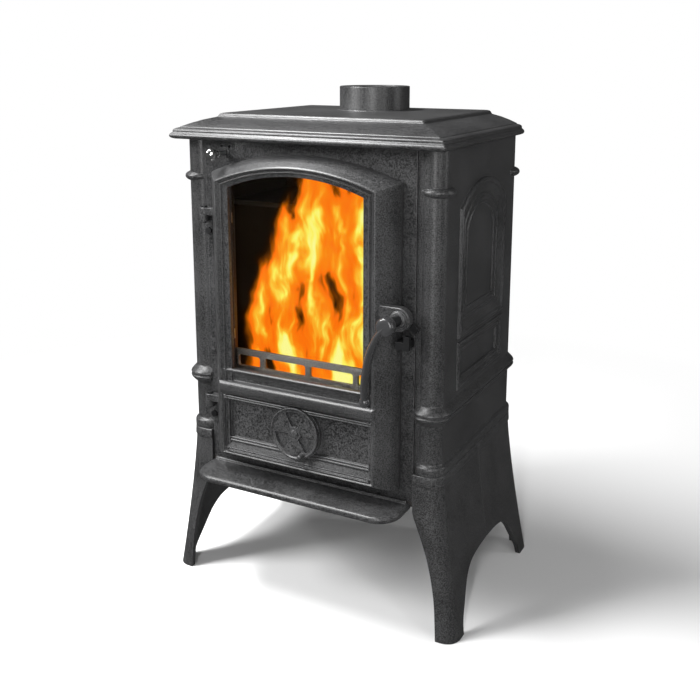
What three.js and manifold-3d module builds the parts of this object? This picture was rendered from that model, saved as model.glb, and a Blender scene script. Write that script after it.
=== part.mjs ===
// A freestanding cast-iron stove on four legs, with an arched glass door.
// Millimetres, +Z up, +Y towards the back. The stove stands on z = 0, centred on the origin.

import * as THREE from "three";
import { mergeVertices } from "three/addons/utils/BufferGeometryUtils.js";
import Module from "manifold-3d";

const wasm = await Module();
wasm.setup();

// ---------------------------------------------------------------- driving dimensions

const gap = 0.3; // between castings that touch
const play = 0.4; // round a shank in its hole

// Body: measured from the axes of the front columns, which lie on y = 0
const columnX = 207;
const columnDepth = 289;
const columnRadius = 21;
const seamZ = 265; // body stands on the legs here
const bodyTopZ = 760;
const baseBand = { radius: 26, height: 14 };
const collar = { radius: 31, z: 360, height: 30 };
const ring = { radius: 25.5, outset: 4.5, z: 698, height: 14 };
const land = { width: 8, front: -17 }; // flat strip that joins each front column to the front plate
const plateThickness = 8;
const frontFaceY = -20;
const sideFaceX = 228;
const wallThickness = 9;
const tongue = { width: 14, thickness: 8 };
const floorTopZ = 217;
const ledge = { reach: 12, height: 8 };

// Side panel mouldings
const sidePanel = { halfWidth: 99.5, bottom: 467, shoulder: 668, crown: 706, fieldDepth: 4 };
const lowerSidePanel = { bottom: 384, top: 461 };

// Top plate and flue
const topPlate = {
  sideOverhang: 33, frontOverhang: 46, rearOverhang: 15, height: 40, rimWidth: 38, rearRim: 15.5, skin: 14,
};
const flue = { radius: 60, wall: 7, top: 840, y: 215, flangeRadius: 72, flangeThickness: 8 };
const flueBead = { width: 3, height: 1.2 };
const collarBolt = { radius: 3, count: 3, headRadius: 6, headHeight: 5 };

// Legs
const leg = { radius: 24, bandBottom: 251, splayX: 36, frontSplay: 10, rearSplay: 17, wall: 9, curve: 1.3 };
const legLug = { length: 32, width: 30, thickness: 9 };
const legBolt = { radius: 4, headRadius: 7.5, headHeight: 5 };

// Ash lip
const lip = { halfWidth: 184, front: -92, back: -22, top: 215, thickness: 12.5, cornerRadius: 38 };
const lipRail = { width: 5, height: 4 };
const lipTongue = { halfWidth: 150, back: 14, thickness: 7.7 };
const lipBoltX = 120;

// Door: an arched frame, measured at its outer edge
const door = { halfWidth: 166, bottom: 236, crown: 743, rise: 32, back: -20.6, ridge: -63 };
const archShrink = { crown: 0.64, rise: 0.2, bottom: 0.5 }; // share of a side inset that the arch and foot take
const glassSeat = { inset: 47, front: -58, back: -50, bottom: 385.7 };
const glass = { inset: 38.5, thickness: 4 };
const gasket = { width: 7.5, thickness: 2 };
const rope = { inset: 12.5, radius: 4.5, grooveFloor: -30, lift: 0.35 };
const sillZ = 395;
const ledgeBar = { top: 374, bottom: 352, halfWidth: 160, mitre: 18, front: -67, back: -44 };
const panelField = { front: -50, back: -44, halfWidth: 134, bottom: 258, top: 346, foot: 252 };
const clip = { z: [450, 640], width: 19, height: 16, thickness: 2, screwRadius: 2, headRadius: 5, headHeight: 3 };

// Air spinner
const spinner = { z: 308, radius: 43, thickness: 4, slotInner: 11, slotOuter: 36, slots: 3, slotAngle: 54, shut: 60 };
const spinnerRim = { width: 4, height: 2.2 };
const spinnerPeg = { radius: 4, length: 12, offset: 37, angle: -67 };
const spinnerBoss = { radius: 43.8, front: -57.6 };
const stud = { radius: 4, headRadius: 6.5, headHeight: 2.8, nutRadius: 8, nutHeight: 6 };

// Hinges
const hinge = { x: -179, y: -38, pinRadius: 3, knuckleRadius: 7.5, knuckleHeight: 11, tops: [652, 337] };
const hingePlate = { width: 18, height: 40, thickness: 5, boltRadius: 3, headRadius: 6, headHeight: 4 };

// Handle and latch
const latch = { x: 176, z: 516, earRadius: 18, earFront: -58, earBack: -44, bossRadius: 13, bossHeight: 4 };
const spindle = { radius: 5, front: -98, back: -27 };
const grip = { width: 11, depth: 20, y: -98, eyeRadius: 14, endRadius: 8.5 };
const gripPath = [[176, 516], [165, 502], [153, 478], [146, 450], [142, 422], [143, 398]];
const cam = { length: 30, width: 10, thickness: 8, front: -42.5, angle: -40 };
const camNut = { radius: 8, height: 5 };
const keeper = { right: 186.4, width: 18, baseTop: 480, baseBottom: 468, lipLeft: 181, lipRight: 190, lipTop: 489.5 };
const keeperLip = { front: -49.5, back: -43.5 };

// Air-wash control
const airWash = { x: -147, z: 740, rodRadius: 4, knobRadius: 10, knobFront: -68, rodBack: 6 };
const airPort = { radius: 2.8, x: 7.5, z: 9.5 };
const airBoss = { radius: 8, height: 2 };
const shutter = { radius: 16, thickness: 3, clearance: 0.5 };

// Inside the stove
const ashOpening = { bottom: 249, top: 352 };
const crossRail = 16;
const mouthInset = 28;
const guard = { top: 417, bottomRail: 20, topRail: 10, post: 8, pitch: 86, endPost: 5 };
const grate = { z: 358, thickness: 8, sideClear: 5, slots: 9, slotWidth: 8, slotPitch: 24 };
const brick = { thickness: 25, top: 640 };
const baffle = { front: 75, thickness: 8 };
const rod = { radius: 4, x: 168, frontY: -3, rearY: 282, nutRadius: 8, nutHeight: 7.5, bossRadius: 8, bossHeight: 24 };
const pan = { halfWidth: 125, front: 72, back: 280, height: 80, wall: 2.5, draft: 4 };
const panHandle = { halfWidth: 45, reach: 22, radius: 4, z: 300 };
const runner = { x: 95, width: 12, front: 10, back: 284 };

// ---------------------------------------------------------------- places that follow from them

const doorGap = frontFaceY - door.back;
const frontBackY = frontFaceY + plateThickness;
const plateHalfWidth = columnX - columnRadius + 0.7;
const backFrontY = columnDepth;
const backBackY = columnDepth + plateThickness;
const innerWallX = sideFaceX - wallThickness;
const topZ = bodyTopZ + topPlate.height;
const plateX = columnX + topPlate.sideOverhang;
const plateFrontY = -topPlate.frontOverhang;
const plateRearY = columnDepth + topPlate.rearOverhang;
const cavityTopZ = topZ - topPlate.skin;
const floorBottomZ = floorTopZ - plateThickness;
const panFloorZ = ashOpening.bottom + 1;
const glassFrontY = glassSeat.back + gap + gasket.thickness + gap;
const grateTopZ = grate.z + grate.thickness;
const frontmostY = grip.y - grip.depth / 2;
const rearmostY = columnDepth + leg.radius + leg.rearSplay;
const centreY = (frontmostY + rearmostY) / 2;

// ---------------------------------------------------------------- finishes

const finish = (color, roughness, metalness, extra = {}) =>
  new THREE.MeshStandardMaterial({ color, roughness, metalness, ...extra });
const castIron = finish(0x3a3a3b, 0.62, 0.35);
const innerIron = finish(0x2b2a29, 0.8, 0.3);
const polished = finish(0xc8c8c6, 0.18, 1);
const zinc = finish(0x8d8f90, 0.4, 0.9);
const ceramicGlass = finish(0x1c1814, 0.05, 0, { transparent: true, opacity: 0.35 });
const ropeSeal = finish(0x8e8b84, 1, 0);
const fireBrick = finish(0xb9a182, 0.95, 0);
const panSteel = finish(0x4a4a4c, 0.5, 0.7);

// ---------------------------------------------------------------- making solids

function signedVolume(points, index) {
  let sum = 0;
  for (let i = 0; i < index.length; i += 3) {
    const [a, b, c] = [index[i], index[i + 1], index[i + 2]].map((k) => points.slice(3 * k, 3 * k + 3));
    sum += a[0] * (b[1] * c[2] - b[2] * c[1]) - a[1] * (b[0] * c[2] - b[2] * c[0]) + a[2] * (b[0] * c[1] - b[1] * c[0]);
  }
  return sum / 6;
}

// A closed geometry as a solid, with its faces turned outwards
function solid(geometry) {
  const bare = geometry.clone();
  bare.deleteAttribute("normal");
  bare.deleteAttribute("uv");
  const merged = mergeVertices(bare, 1e-3);
  const points = Array.from(merged.attributes.position.array);
  const index = [];
  const source = merged.index.array;
  for (let i = 0; i < source.length; i += 3) {
    const [a, b, c] = [source[i], source[i + 1], source[i + 2]];
    if (a !== b && b !== c && c !== a) index.push(a, b, c);
  }
  if (signedVolume(points, index) < 0) index.reverse();
  return new wasm.Manifold(
    new wasm.Mesh({ numProp: 3, vertProperties: new Float32Array(points), triVerts: new Uint32Array(index) }),
  );
}

function geometryOf(body) {
  const { numProp, vertProperties, triVerts } = body.getMesh();
  const positions = new Float32Array((vertProperties.length / numProp) * 3);
  for (let i = 0; i < positions.length / 3; i += 1) {
    for (let k = 0; k < 3; k += 1) positions[3 * i + k] = vertProperties[numProp * i + k];
  }
  const geometry = new THREE.BufferGeometry();
  geometry.setAttribute("position", new THREE.BufferAttribute(positions, 3));
  geometry.setIndex(new THREE.BufferAttribute(new Uint32Array(triVerts), 1));
  geometry.computeVertexNormals();
  return geometry;
}

const join = (...bodies) => bodies.reduce((a, b) => a.add(b));
const cut = (body, ...tools) => tools.reduce((a, b) => a.subtract(b), body);

function box(x0, x1, y0, y1, z0, z1) {
  const geometry = new THREE.BoxGeometry(x1 - x0, y1 - y0, z1 - z0);
  geometry.translate((x0 + x1) / 2, (y0 + y1) / 2, (z0 + z1) / 2);
  return solid(geometry);
}

// A cylinder along +Y from y0 to y1
function rodY(x, z, radius, y0, y1, segments = 16) {
  const geometry = new THREE.CylinderGeometry(radius, radius, y1 - y0, segments);
  geometry.translate(x, (y0 + y1) / 2, z);
  return solid(geometry);
}

// A cylinder along +Z from z0 to z1
function rodZ(x, y, radius, z0, z1, segments = 16) {
  const geometry = new THREE.CylinderGeometry(radius, radius, z1 - z0, segments);
  geometry.rotateX(Math.PI / 2);
  geometry.translate(x, y, (z0 + z1) / 2);
  return solid(geometry);
}

// A profile of [radius, height] turned about +Z
function turnedZ(profile, x, y, segments = 20) {
  const geometry = new THREE.LatheGeometry(profile.map(([r, h]) => new THREE.Vector2(r, h)), segments);
  geometry.rotateX(Math.PI / 2);
  geometry.translate(x, y, 0);
  return solid(geometry);
}

// A profile of [radius, y] turned about +Y
function turnedY(profile, x, z, segments = 24) {
  const geometry = new THREE.LatheGeometry(profile.map(([r, y]) => new THREE.Vector2(r, y)), segments);
  geometry.translate(x, 0, z);
  return solid(geometry);
}

const shapeOf = (points) => new THREE.Shape(points.map(([a, b]) => new THREE.Vector2(a, b)));

// A shape drawn in x and z, from yFront back to yBack
function slabXZ(shape, yFront, yBack, curveSegments = 12) {
  const geometry = new THREE.ExtrudeGeometry(shape, { depth: yBack - yFront, bevelEnabled: false, curveSegments });
  geometry.rotateX(Math.PI / 2);
  geometry.translate(0, yBack, 0);
  return solid(geometry);
}

// A shape drawn in y and z, from x0 to x1
function slabYZ(shape, x0, x1, curveSegments = 12) {
  const geometry = new THREE.ExtrudeGeometry(shape, { depth: x1 - x0, bevelEnabled: false, curveSegments });
  const [alongY, alongZ, alongX] = [[0, 1, 0], [0, 0, 1], [1, 0, 0]].map((v) => new THREE.Vector3(...v));
  geometry.applyMatrix4(new THREE.Matrix4().makeBasis(alongY, alongZ, alongX));
  geometry.translate(x0, 0, 0);
  return solid(geometry);
}

// A shape drawn in z and x, from y0 back to y1
function slabAlongY(shape, y0, y1) {
  const geometry = new THREE.ExtrudeGeometry(shape, { depth: y1 - y0, bevelEnabled: false });
  const [alongZ, alongX, alongY] = [[0, 0, 1], [1, 0, 0], [0, 1, 0]].map((v) => new THREE.Vector3(...v));
  geometry.applyMatrix4(new THREE.Matrix4().makeBasis(alongZ, alongX, alongY));
  geometry.translate(0, y0, 0);
  return solid(geometry);
}

// A shape drawn in x and y, from z0 up to z1
function slabXY(shape, z0, z1, curveSegments = 12) {
  const geometry = new THREE.ExtrudeGeometry(shape, { depth: z1 - z0, bevelEnabled: false, curveSegments });
  geometry.translate(0, 0, z0);
  return solid(geometry);
}

// A skin over outlines with the same number of points. Closed, the last outline meets the first;
// open, the end outlines are capped, and plane names the two axes that they are drawn in.
function loft(outlines, { closed = false, plane = [0, 1] } = {}) {
  const count = outlines[0].length;
  const positions = outlines.flat(2);
  const index = [];
  const spans = closed ? outlines.length : outlines.length - 1;
  for (let i = 0; i < spans; i += 1) {
    const next = (i + 1) % outlines.length;
    for (let j = 0; j < count; j += 1) {
      const k = (j + 1) % count;
      const [a, b, c, d] = [i * count + j, i * count + k, next * count + k, next * count + j];
      index.push(a, b, c, a, c, d);
    }
  }
  if (!closed) {
    for (const [ring, flip] of [[0, true], [outlines.length - 1, false]]) {
      const flat = outlines[ring].map((p) => new THREE.Vector2(p[plane[0]], p[plane[1]]));
      const faces = THREE.ShapeUtils.triangulateShape(flat, []);
      const clockwise = THREE.ShapeUtils.isClockWise(flat);
      for (const face of faces) {
        const [a, b, c] = face.map((v) => v + ring * count);
        if (flip !== clockwise) index.push(a, c, b);
        else index.push(a, b, c);
      }
    }
  }
  const geometry = new THREE.BufferGeometry();
  geometry.setAttribute("position", new THREE.Float32BufferAttribute(positions, 3));
  geometry.setIndex(index);
  return solid(geometry);
}

// The same solid on the other side of the stove
function mirrored(body) {
  const geometry = geometryOf(body);
  geometry.scale(-1, 1, 1);
  return solid(geometry);
}

// ---------------------------------------------------------------- outlines

// The door's arched outline, set in by an amount from its outer edge: points [x, z] from the lower left
function doorOutline(inset, { bottom = door.bottom + archShrink.bottom * inset, steps = 14 } = {}) {
  const half = door.halfWidth - inset;
  const crown = door.crown - archShrink.crown * inset;
  const rise = door.rise - archShrink.rise * inset;
  const radius = (half * half + rise * rise) / (2 * rise);
  const sweep = Math.asin(half / radius);
  const points = [[-half, bottom], [half, bottom]];
  for (let i = 0; i <= steps; i += 1) {
    const angle = sweep - (2 * sweep * i) / steps;
    points.push([radius * Math.sin(angle), crown - radius + radius * Math.cos(angle)]);
  }
  return points;
}

// A moulding of [inset, y] points, mitred round the door's outline
function doorMoulding(profile) {
  return loft(profile.map(([inset, y]) => doorOutline(inset).map(([x, z]) => [x, y, z])), { closed: true });
}

// A table of [position, value] read between its rows in straight lines
function tableValue(table, at) {
  const last = table.length - 1;
  if (at <= table[0][0]) return table[0][1];
  if (at >= table[last][0]) return table[last][1];
  const row = table.findIndex(([position]) => position >= at);
  const [[p0, v0], [p1, v1]] = [table[row - 1], table[row]];
  return v0 + ((v1 - v0) * (at - p0)) / (p1 - p0);
}

// ---------------------------------------------------------------- the assembly

const stove = new THREE.Group();
const body = new THREE.Group();
const doorGroup = new THREE.Group();
stove.add(body, doorGroup);
stove.position.y = -centreY;

function piece(group, name, shape, material) {
  const mesh = new THREE.Mesh(geometryOf(shape), material);
  mesh.name = name;
  group.add(mesh);
  return mesh;
}

// The same piece at several places, numbered from 1
function pieces(group, stem, places, make, material) {
  places.forEach((place, i) => piece(group, `${stem}_${i + 1}`, make(...place), material));
}

// ---------------------------------------------------------------- side panels with their columns

function columnProfile() {
  const r = columnRadius;
  const groove = 2;
  const half = collar.height / 2;
  return [
    [0, seamZ],
    [baseBand.radius, seamZ],
    [baseBand.radius, seamZ + baseBand.height - 3],
    [baseBand.radius - 2, seamZ + baseBand.height],
    [r, seamZ + baseBand.height + 4],
    [r, collar.z - half],
    [r + 4, collar.z - half + 4],
    [collar.radius - 1, collar.z - 5],
    [collar.radius, collar.z - 2.5],
    [collar.radius - groove, collar.z - 1],
    [collar.radius - groove, collar.z + 1],
    [collar.radius, collar.z + 2.5],
    [collar.radius - 1, collar.z + 5],
    [r + 4, collar.z + half - 4],
    [r, collar.z + half],
    [r, bodyTopZ - gap],
    [0, bodyTopZ - gap],
  ];
}

// The ring near a column's head stands further out at the side than towards the door
function columnRing(y) {
  const { radius, z, height } = ring;
  const profile = [
    [0, z - height / 2], [radius - 6, z - height / 2], [radius - 2.5, z - height / 3], [radius, z - height / 10],
    [radius, z + height / 10], [radius - 2.5, z + height / 3], [radius - 6, z + height / 2], [0, z + height / 2],
  ];
  return turnedZ(profile, columnX + ring.outset, y);
}

// The arched panel's outline on the side wall, as points [y, z]
function sideArch(inset, steps = 10) {
  const half = sidePanel.halfWidth - inset;
  const rise = sidePanel.crown - sidePanel.shoulder;
  const radius = (half * half + rise * rise) / (2 * rise);
  const sweep = Math.asin(half / radius);
  const middle = columnDepth / 2;
  const points = [[middle - half, sidePanel.bottom + inset], [middle + half, sidePanel.bottom + inset]];
  for (let i = 0; i <= steps; i += 1) {
    const angle = sweep - (2 * sweep * i) / steps;
    points.push([middle + radius * Math.sin(angle), sidePanel.crown - inset - radius + radius * Math.cos(angle)]);
  }
  return points;
}

function lowerRectangle(inset) {
  const half = sidePanel.halfWidth - inset;
  const middle = columnDepth / 2;
  const { bottom, top } = lowerSidePanel;
  return [
    [middle - half, bottom + inset],
    [middle + half, bottom + inset],
    [middle + half, top - inset],
    [middle - half, top - inset],
  ];
}

// Moulding of [inset, x] points standing on the wall round an outline
const wallMoulding = (outline, profile) =>
  loft(profile.map(([inset, x]) => outline(inset).map(([y, z]) => [x, y, z])), { closed: true });

function rightSidePanel() {
  const face = sideFaceX;
  const field = face - sidePanel.fieldDepth;
  const columns = [0, columnDepth].flatMap((y) => [turnedZ(columnProfile(), columnX, y), columnRing(y)]);
  const wall = box(innerWallX, face, 0, columnDepth, seamZ, bodyTopZ - gap);
  const bands = columnProfile().filter(([r, z]) => r > 0 && z < ring.z);
  const bandTop = collar.z + collar.height / 2;
  const bandShape = shapeOf([[seamZ, innerWallX], ...bands.map(([r, z]) => [z, columnX + r]), [bandTop, innerWallX]]);
  const band = slabAlongY(bandShape, 0, columnDepth);
  const tongueX = columnX - columnRadius + 6;
  const tongues = [frontBackY + gap, backFrontY - gap - tongue.thickness].map((y) =>
    box(tongueX - tongue.width, tongueX, y, y + tongue.thickness, seamZ, bodyTopZ - gap),
  );
  const landStrip = box(plateHalfWidth, plateHalfWidth + land.width, land.front, -3, seamZ, bodyTopZ - gap);
  const shelf = box(
    innerWallX - ledge.reach, innerWallX + 1, columnRadius, columnDepth - columnRadius,
    grate.z - gap - ledge.height, grate.z - gap,
  );
  const recesses = [
    slabYZ(shapeOf(sideArch(8)), field, face + 1),
    slabYZ(shapeOf(lowerRectangle(8)), field + 1.5, face + 1),
  ];
  const archMoulding = wallMoulding(sideArch, [
    [0, field - 1.5], [0, face + 1.5], [2, face + 4.5], [5, face + 5.5], [8, face + 4.5],
    [12, face + 2.5], [22, field + 1.5], [24, field + 1.2], [26, field + 3], [28.5, field + 3.4], [31, field + 1],
    [38, field + 0.8], [39.5, field + 1.8], [41, field + 1.8], [43, field - 1.5],
  ]);
  const lowerMoulding = wallMoulding(lowerRectangle, [
    [0, field - 1], [0, face + 1], [2, face + 3.4], [5, face + 3.6], [8, face + 1],
    [13, field + 2.6], [15, field + 2.4], [16.5, field + 3.6], [18.5, field + 3.6], [20.5, field - 1],
  ]);
  const slots = [
    box(0, plateHalfWidth + gap, frontFaceY - 20, frontBackY + gap, 0, bodyTopZ),
    box(0, plateHalfWidth + gap, backFrontY - gap, backBackY + 20, 0, bodyTopZ),
  ];
  const inside = [
    box(0, innerWallX, columnRadius, columnDepth - columnRadius, 0, bodyTopZ),
    box(0, columnX - columnRadius, frontBackY, backFrontY, 0, bodyTopZ),
  ];
  const shell = cut(join(...columns, wall, band), ...recesses, ...inside);
  return cut(join(shell, archMoulding, lowerMoulding, ...tongues, landStrip, shelf), ...slots);
}

const rightPanel = rightSidePanel();
piece(body, "right_side_panel", rightPanel, castIron);
piece(body, "left_side_panel", mirrored(rightPanel), castIron);

// ---------------------------------------------------------------- front plate and back panel

const plateBottomZ = floorTopZ + gap;
const plateOutline = shapeOf([
  [-plateHalfWidth, plateBottomZ],
  [plateHalfWidth, plateBottomZ],
  [plateHalfWidth, bodyTopZ - gap],
  [-plateHalfWidth, bodyTopZ - gap],
]);

function hingeBolts(clearance, y0, y1) {
  return hinge.tops.map((top) => {
    const z = top - 2 * hinge.knuckleHeight - 18;
    return rodY(hinge.x, z, hingePlate.boltRadius + clearance, y0, y1, 12);
  });
}

const mouth = doorOutline(mouthInset, { bottom: ashOpening.top + crossRail });
const mouthHalf = door.halfWidth - mouthInset;
const frontPlate = cut(
  join(
    slabXZ(plateOutline, frontFaceY, frontBackY),
    rodY(airWash.x, airWash.z, airBoss.radius, frontFaceY - airBoss.height, frontFaceY + 1),
  ),
  slabXZ(shapeOf(mouth), frontFaceY - 1, frontBackY + 1),
  box(-mouthHalf, mouthHalf, frontFaceY - 1, frontBackY + 1, ashOpening.bottom, ashOpening.top),
  rodY(airWash.x, airWash.z, airWash.rodRadius + play, frontFaceY - airBoss.height - 1, frontBackY + 1),
  ...[-1, 1].map((side) =>
    rodY(airWash.x + side * airPort.x, airWash.z + airPort.z, airPort.radius, frontFaceY - 1, frontBackY + 1, 12),
  ),
  ...hingeBolts(play, frontFaceY - 1, frontBackY + 1),
);
piece(body, "front_plate", frontPlate, castIron);
piece(body, "back_panel", slabXZ(plateOutline, backFrontY, backBackY), castIron);

// ---------------------------------------------------------------- base plate

const legInnerFront = leg.radius - leg.wall; // inner face of a leg's flange, off the column axis
const basePlateX = columnX + legInnerFront + 1;
const baseFrontY = frontFaceY - 0.5;
const baseStep = plateHalfWidth + 0.6;
const cornerCut = 14;
const baseFlangeY = -legInnerFront + 2;
const baseRearY = columnDepth + legInnerFront - 2;
const basePlateOutline = shapeOf([
  [-baseStep, baseFrontY], [baseStep, baseFrontY], [baseStep, baseFlangeY],
  [basePlateX - cornerCut, baseFlangeY], [basePlateX, baseFlangeY + cornerCut],
  [basePlateX, baseRearY - cornerCut], [basePlateX - cornerCut, baseRearY],
  [-basePlateX + cornerCut, baseRearY], [-basePlateX, baseRearY - cornerCut],
  [-basePlateX, baseFlangeY + cornerCut], [-basePlateX + cornerCut, baseFlangeY], [-baseStep, baseFlangeY],
]);
const legBoltX = columnX - 2;
const legBoltYs = [22, columnDepth - 22];
const rodPlaces = [rod.frontY, rod.rearY].flatMap((y) => [-rod.x, rod.x].map((x) => [x, y]));
const legBoltPlaces = legBoltYs.flatMap((y) => [-legBoltX, legBoltX].map((x) => [x, y]));
const lipBoltPlaces = [-lipBoltX, lipBoltX].map((x) => [x, 0]);
const basePlate = cut(
  slabXY(basePlateOutline, floorBottomZ, floorTopZ),
  ...[...rodPlaces, ...legBoltPlaces, ...lipBoltPlaces].map(([x, y]) =>
    rodZ(x, y, legBolt.radius + play, floorBottomZ - 1, floorTopZ + 1, 12),
  ),
);
piece(body, "base_plate", basePlate, innerIron);

// ---------------------------------------------------------------- legs

// Where each flange ends, by height: [z, distance]
const flangeEnd = [[0, 234], [57, 230], [90, 225], [131, 215], [177, 198], [205, 188]];
const wingEnd = [
  [0, 5], [14, 8], [49, 29], [70, 43], [80, 53], [90, 70], [95, 92], [97, 112], [98.5, columnDepth / 2 - gap / 2],
];
const legLevels = [0, 14, 30, 49, 70, 80, 90, 95, 97, 98.5, 131, 155, 177, 205, 232, 249.5, leg.bandBottom, seamZ - gap];

function rightLeg(splayY) {
  const arcSteps = 5;
  const sections = legLevels.map((z) => {
    const splay = Math.max(0, 1 - z / seamZ) ** leg.curve;
    const [cx, cy] = [columnX + leg.splayX * splay, -splayY * splay];
    const outer = z < leg.bandBottom ? leg.radius : baseBand.radius;
    const inner = leg.radius - leg.wall;
    const flange = tableValue(flangeEnd, z);
    const wing = tableValue(wingEnd, z);
    const arc = (radius, from, to) =>
      Array.from({ length: arcSteps + 1 }, (_, i) => {
        const angle = THREE.MathUtils.degToRad(from + ((to - from) * i) / arcSteps);
        return [cx + radius * Math.cos(angle), cy + radius * Math.sin(angle), z];
      });
    return [
      [flange, cy - outer, z], ...arc(outer, -90, 0), [cx + outer, wing, z],
      [cx + inner, wing, z], ...arc(inner, 0, -90), [flange, cy - inner, z],
    ];
  });
  const lugTop = floorBottomZ - gap;
  const lug = box(
    legBoltX - legLug.width / 2 + 4, columnX + legInnerFront + 8, legBoltYs[0] - legLug.length / 2,
    legBoltYs[0] + legLug.length / 2, lugTop - legLug.thickness, lugTop,
  );
  const hole = rodZ(legBoltX, legBoltYs[0], legBolt.radius + play, lugTop - legLug.thickness - 1, lugTop + 1, 12);
  return cut(join(loft(sections), lug), hole);
}

function toRear(bodyPart) {
  const geometry = geometryOf(bodyPart);
  geometry.scale(1, -1, 1);
  geometry.translate(0, columnDepth, 0);
  return solid(geometry);
}

const frontLeg = rightLeg(leg.frontSplay);
const rearLeg = toRear(rightLeg(leg.rearSplay));
piece(body, "leg_front_right", frontLeg, castIron);
piece(body, "leg_front_left", mirrored(frontLeg), castIron);
piece(body, "leg_rear_right", rearLeg, castIron);
piece(body, "leg_rear_left", mirrored(rearLeg), castIron);

// A bolt up through plates from z0, with its head below and its nut above
function boltUp(x, y, radius, head, z0, z1, nutHeight = 0) {
  const shank = rodZ(x, y, radius, z0 - 1, z1, 10);
  const hexHead = rodZ(x, y, head.radius, z0 - head.height, z0, 6);
  if (!nutHeight) return join(shank, hexHead);
  return join(shank, hexHead, rodZ(x, y, head.radius, z1 - nutHeight - 2, z1 - 2, 6));
}

const legHead = { radius: legBolt.headRadius, height: legBolt.headHeight };
const lugBottomZ = floorBottomZ - gap - legLug.thickness;
const nutHeight = 5;
const boltTopZ = floorTopZ + gap + nutHeight + 2;
pieces(
  body, "leg_bolt", legBoltPlaces,
  (x, y) => boltUp(x, y, legBolt.radius, legHead, lugBottomZ - gap, boltTopZ, nutHeight),
  zinc,
);

// ---------------------------------------------------------------- ash lip

const lipShape = new THREE.Shape();
lipShape.moveTo(-lip.halfWidth, lip.back);
lipShape.lineTo(-lip.halfWidth, lip.front + lip.cornerRadius);
lipShape.absarc(-lip.halfWidth + lip.cornerRadius, lip.front + lip.cornerRadius, lip.cornerRadius, Math.PI, 1.5 * Math.PI);
lipShape.lineTo(lip.halfWidth - lip.cornerRadius, lip.front);
lipShape.absarc(lip.halfWidth - lip.cornerRadius, lip.front + lip.cornerRadius, lip.cornerRadius, 1.5 * Math.PI, 2 * Math.PI);
lipShape.lineTo(lip.halfWidth, lip.back);

// The lip's outline at a height, drawn in by an amount at its front and sides
function lipSection(inset, z) {
  return lipShape.getPoints(8).map((p) => {
    const pull = Math.abs(p.x) > lip.halfWidth - lip.cornerRadius ? inset : 0;
    const x = Math.sign(p.x) * Math.max(0, Math.abs(p.x) - pull);
    return [x, Math.max(p.y, lip.front) + (p.y < lip.back ? inset : 0), z];
  });
}

const lipBottom = lip.top - lip.thickness;
const lipBody = loft([
  lipSection(9, lipBottom), lipSection(3, lipBottom + 1.5), lipSection(0, lipBottom + 5),
  lipSection(0, lip.top - 4), lipSection(1.5, lip.top - 1), lipSection(4, lip.top),
]);
const lipTongueTop = floorBottomZ - gap;
const ashLip = cut(
  join(
    lipBody,
    box(-lip.halfWidth + 6, lip.halfWidth - 6, lip.back - lipRail.width, lip.back, lip.top - 1, lip.top + lipRail.height),
    box(-lipTongue.halfWidth, lipTongue.halfWidth, lip.back - 8, lipTongue.back, lipTongueTop - lipTongue.thickness, lipTongueTop),
  ),
  ...rodPlaces.slice(0, 2).map(([x, y]) => rodZ(x, y, rod.nutRadius + 2, lipBottom - 5, floorBottomZ, 12)),
  ...lipBoltPlaces.map(([x, y]) => rodZ(x, y, legBolt.radius + play, lipBottom - 5, floorBottomZ, 12)),
);
piece(body, "ash_lip", ashLip, castIron);
pieces(
  body, "ash_lip_bolt", lipBoltPlaces,
  (x, y) => boltUp(x, y, legBolt.radius, legHead, lipTongueTop - lipTongue.thickness - gap, boltTopZ, nutHeight),
  zinc,
);

// ---------------------------------------------------------------- top plate and flue

// The top plate's outline at a height, set in at the front and sides, and a little at the back
function plateSection(inset, z, rearInset = inset * 0.12) {
  const corner = 3;
  const [x, y0, y1] = [plateX - inset, plateFrontY + inset, plateRearY - rearInset];
  const corners = [[x, y0, 1, -1], [x, y1, 1, 1], [-x, y1, -1, 1], [-x, y0, -1, -1]];
  return corners.flatMap(([cx, cy, sx, sy], i) => {
    const points = [
      [cx - sx * corner, cy, z],
      [cx - sx * corner * 0.3, cy - sy * corner * 0.3, z],
      [cx, cy - sy * corner, z],
    ];
    return i % 2 ? points.reverse() : points;
  });
}

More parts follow.
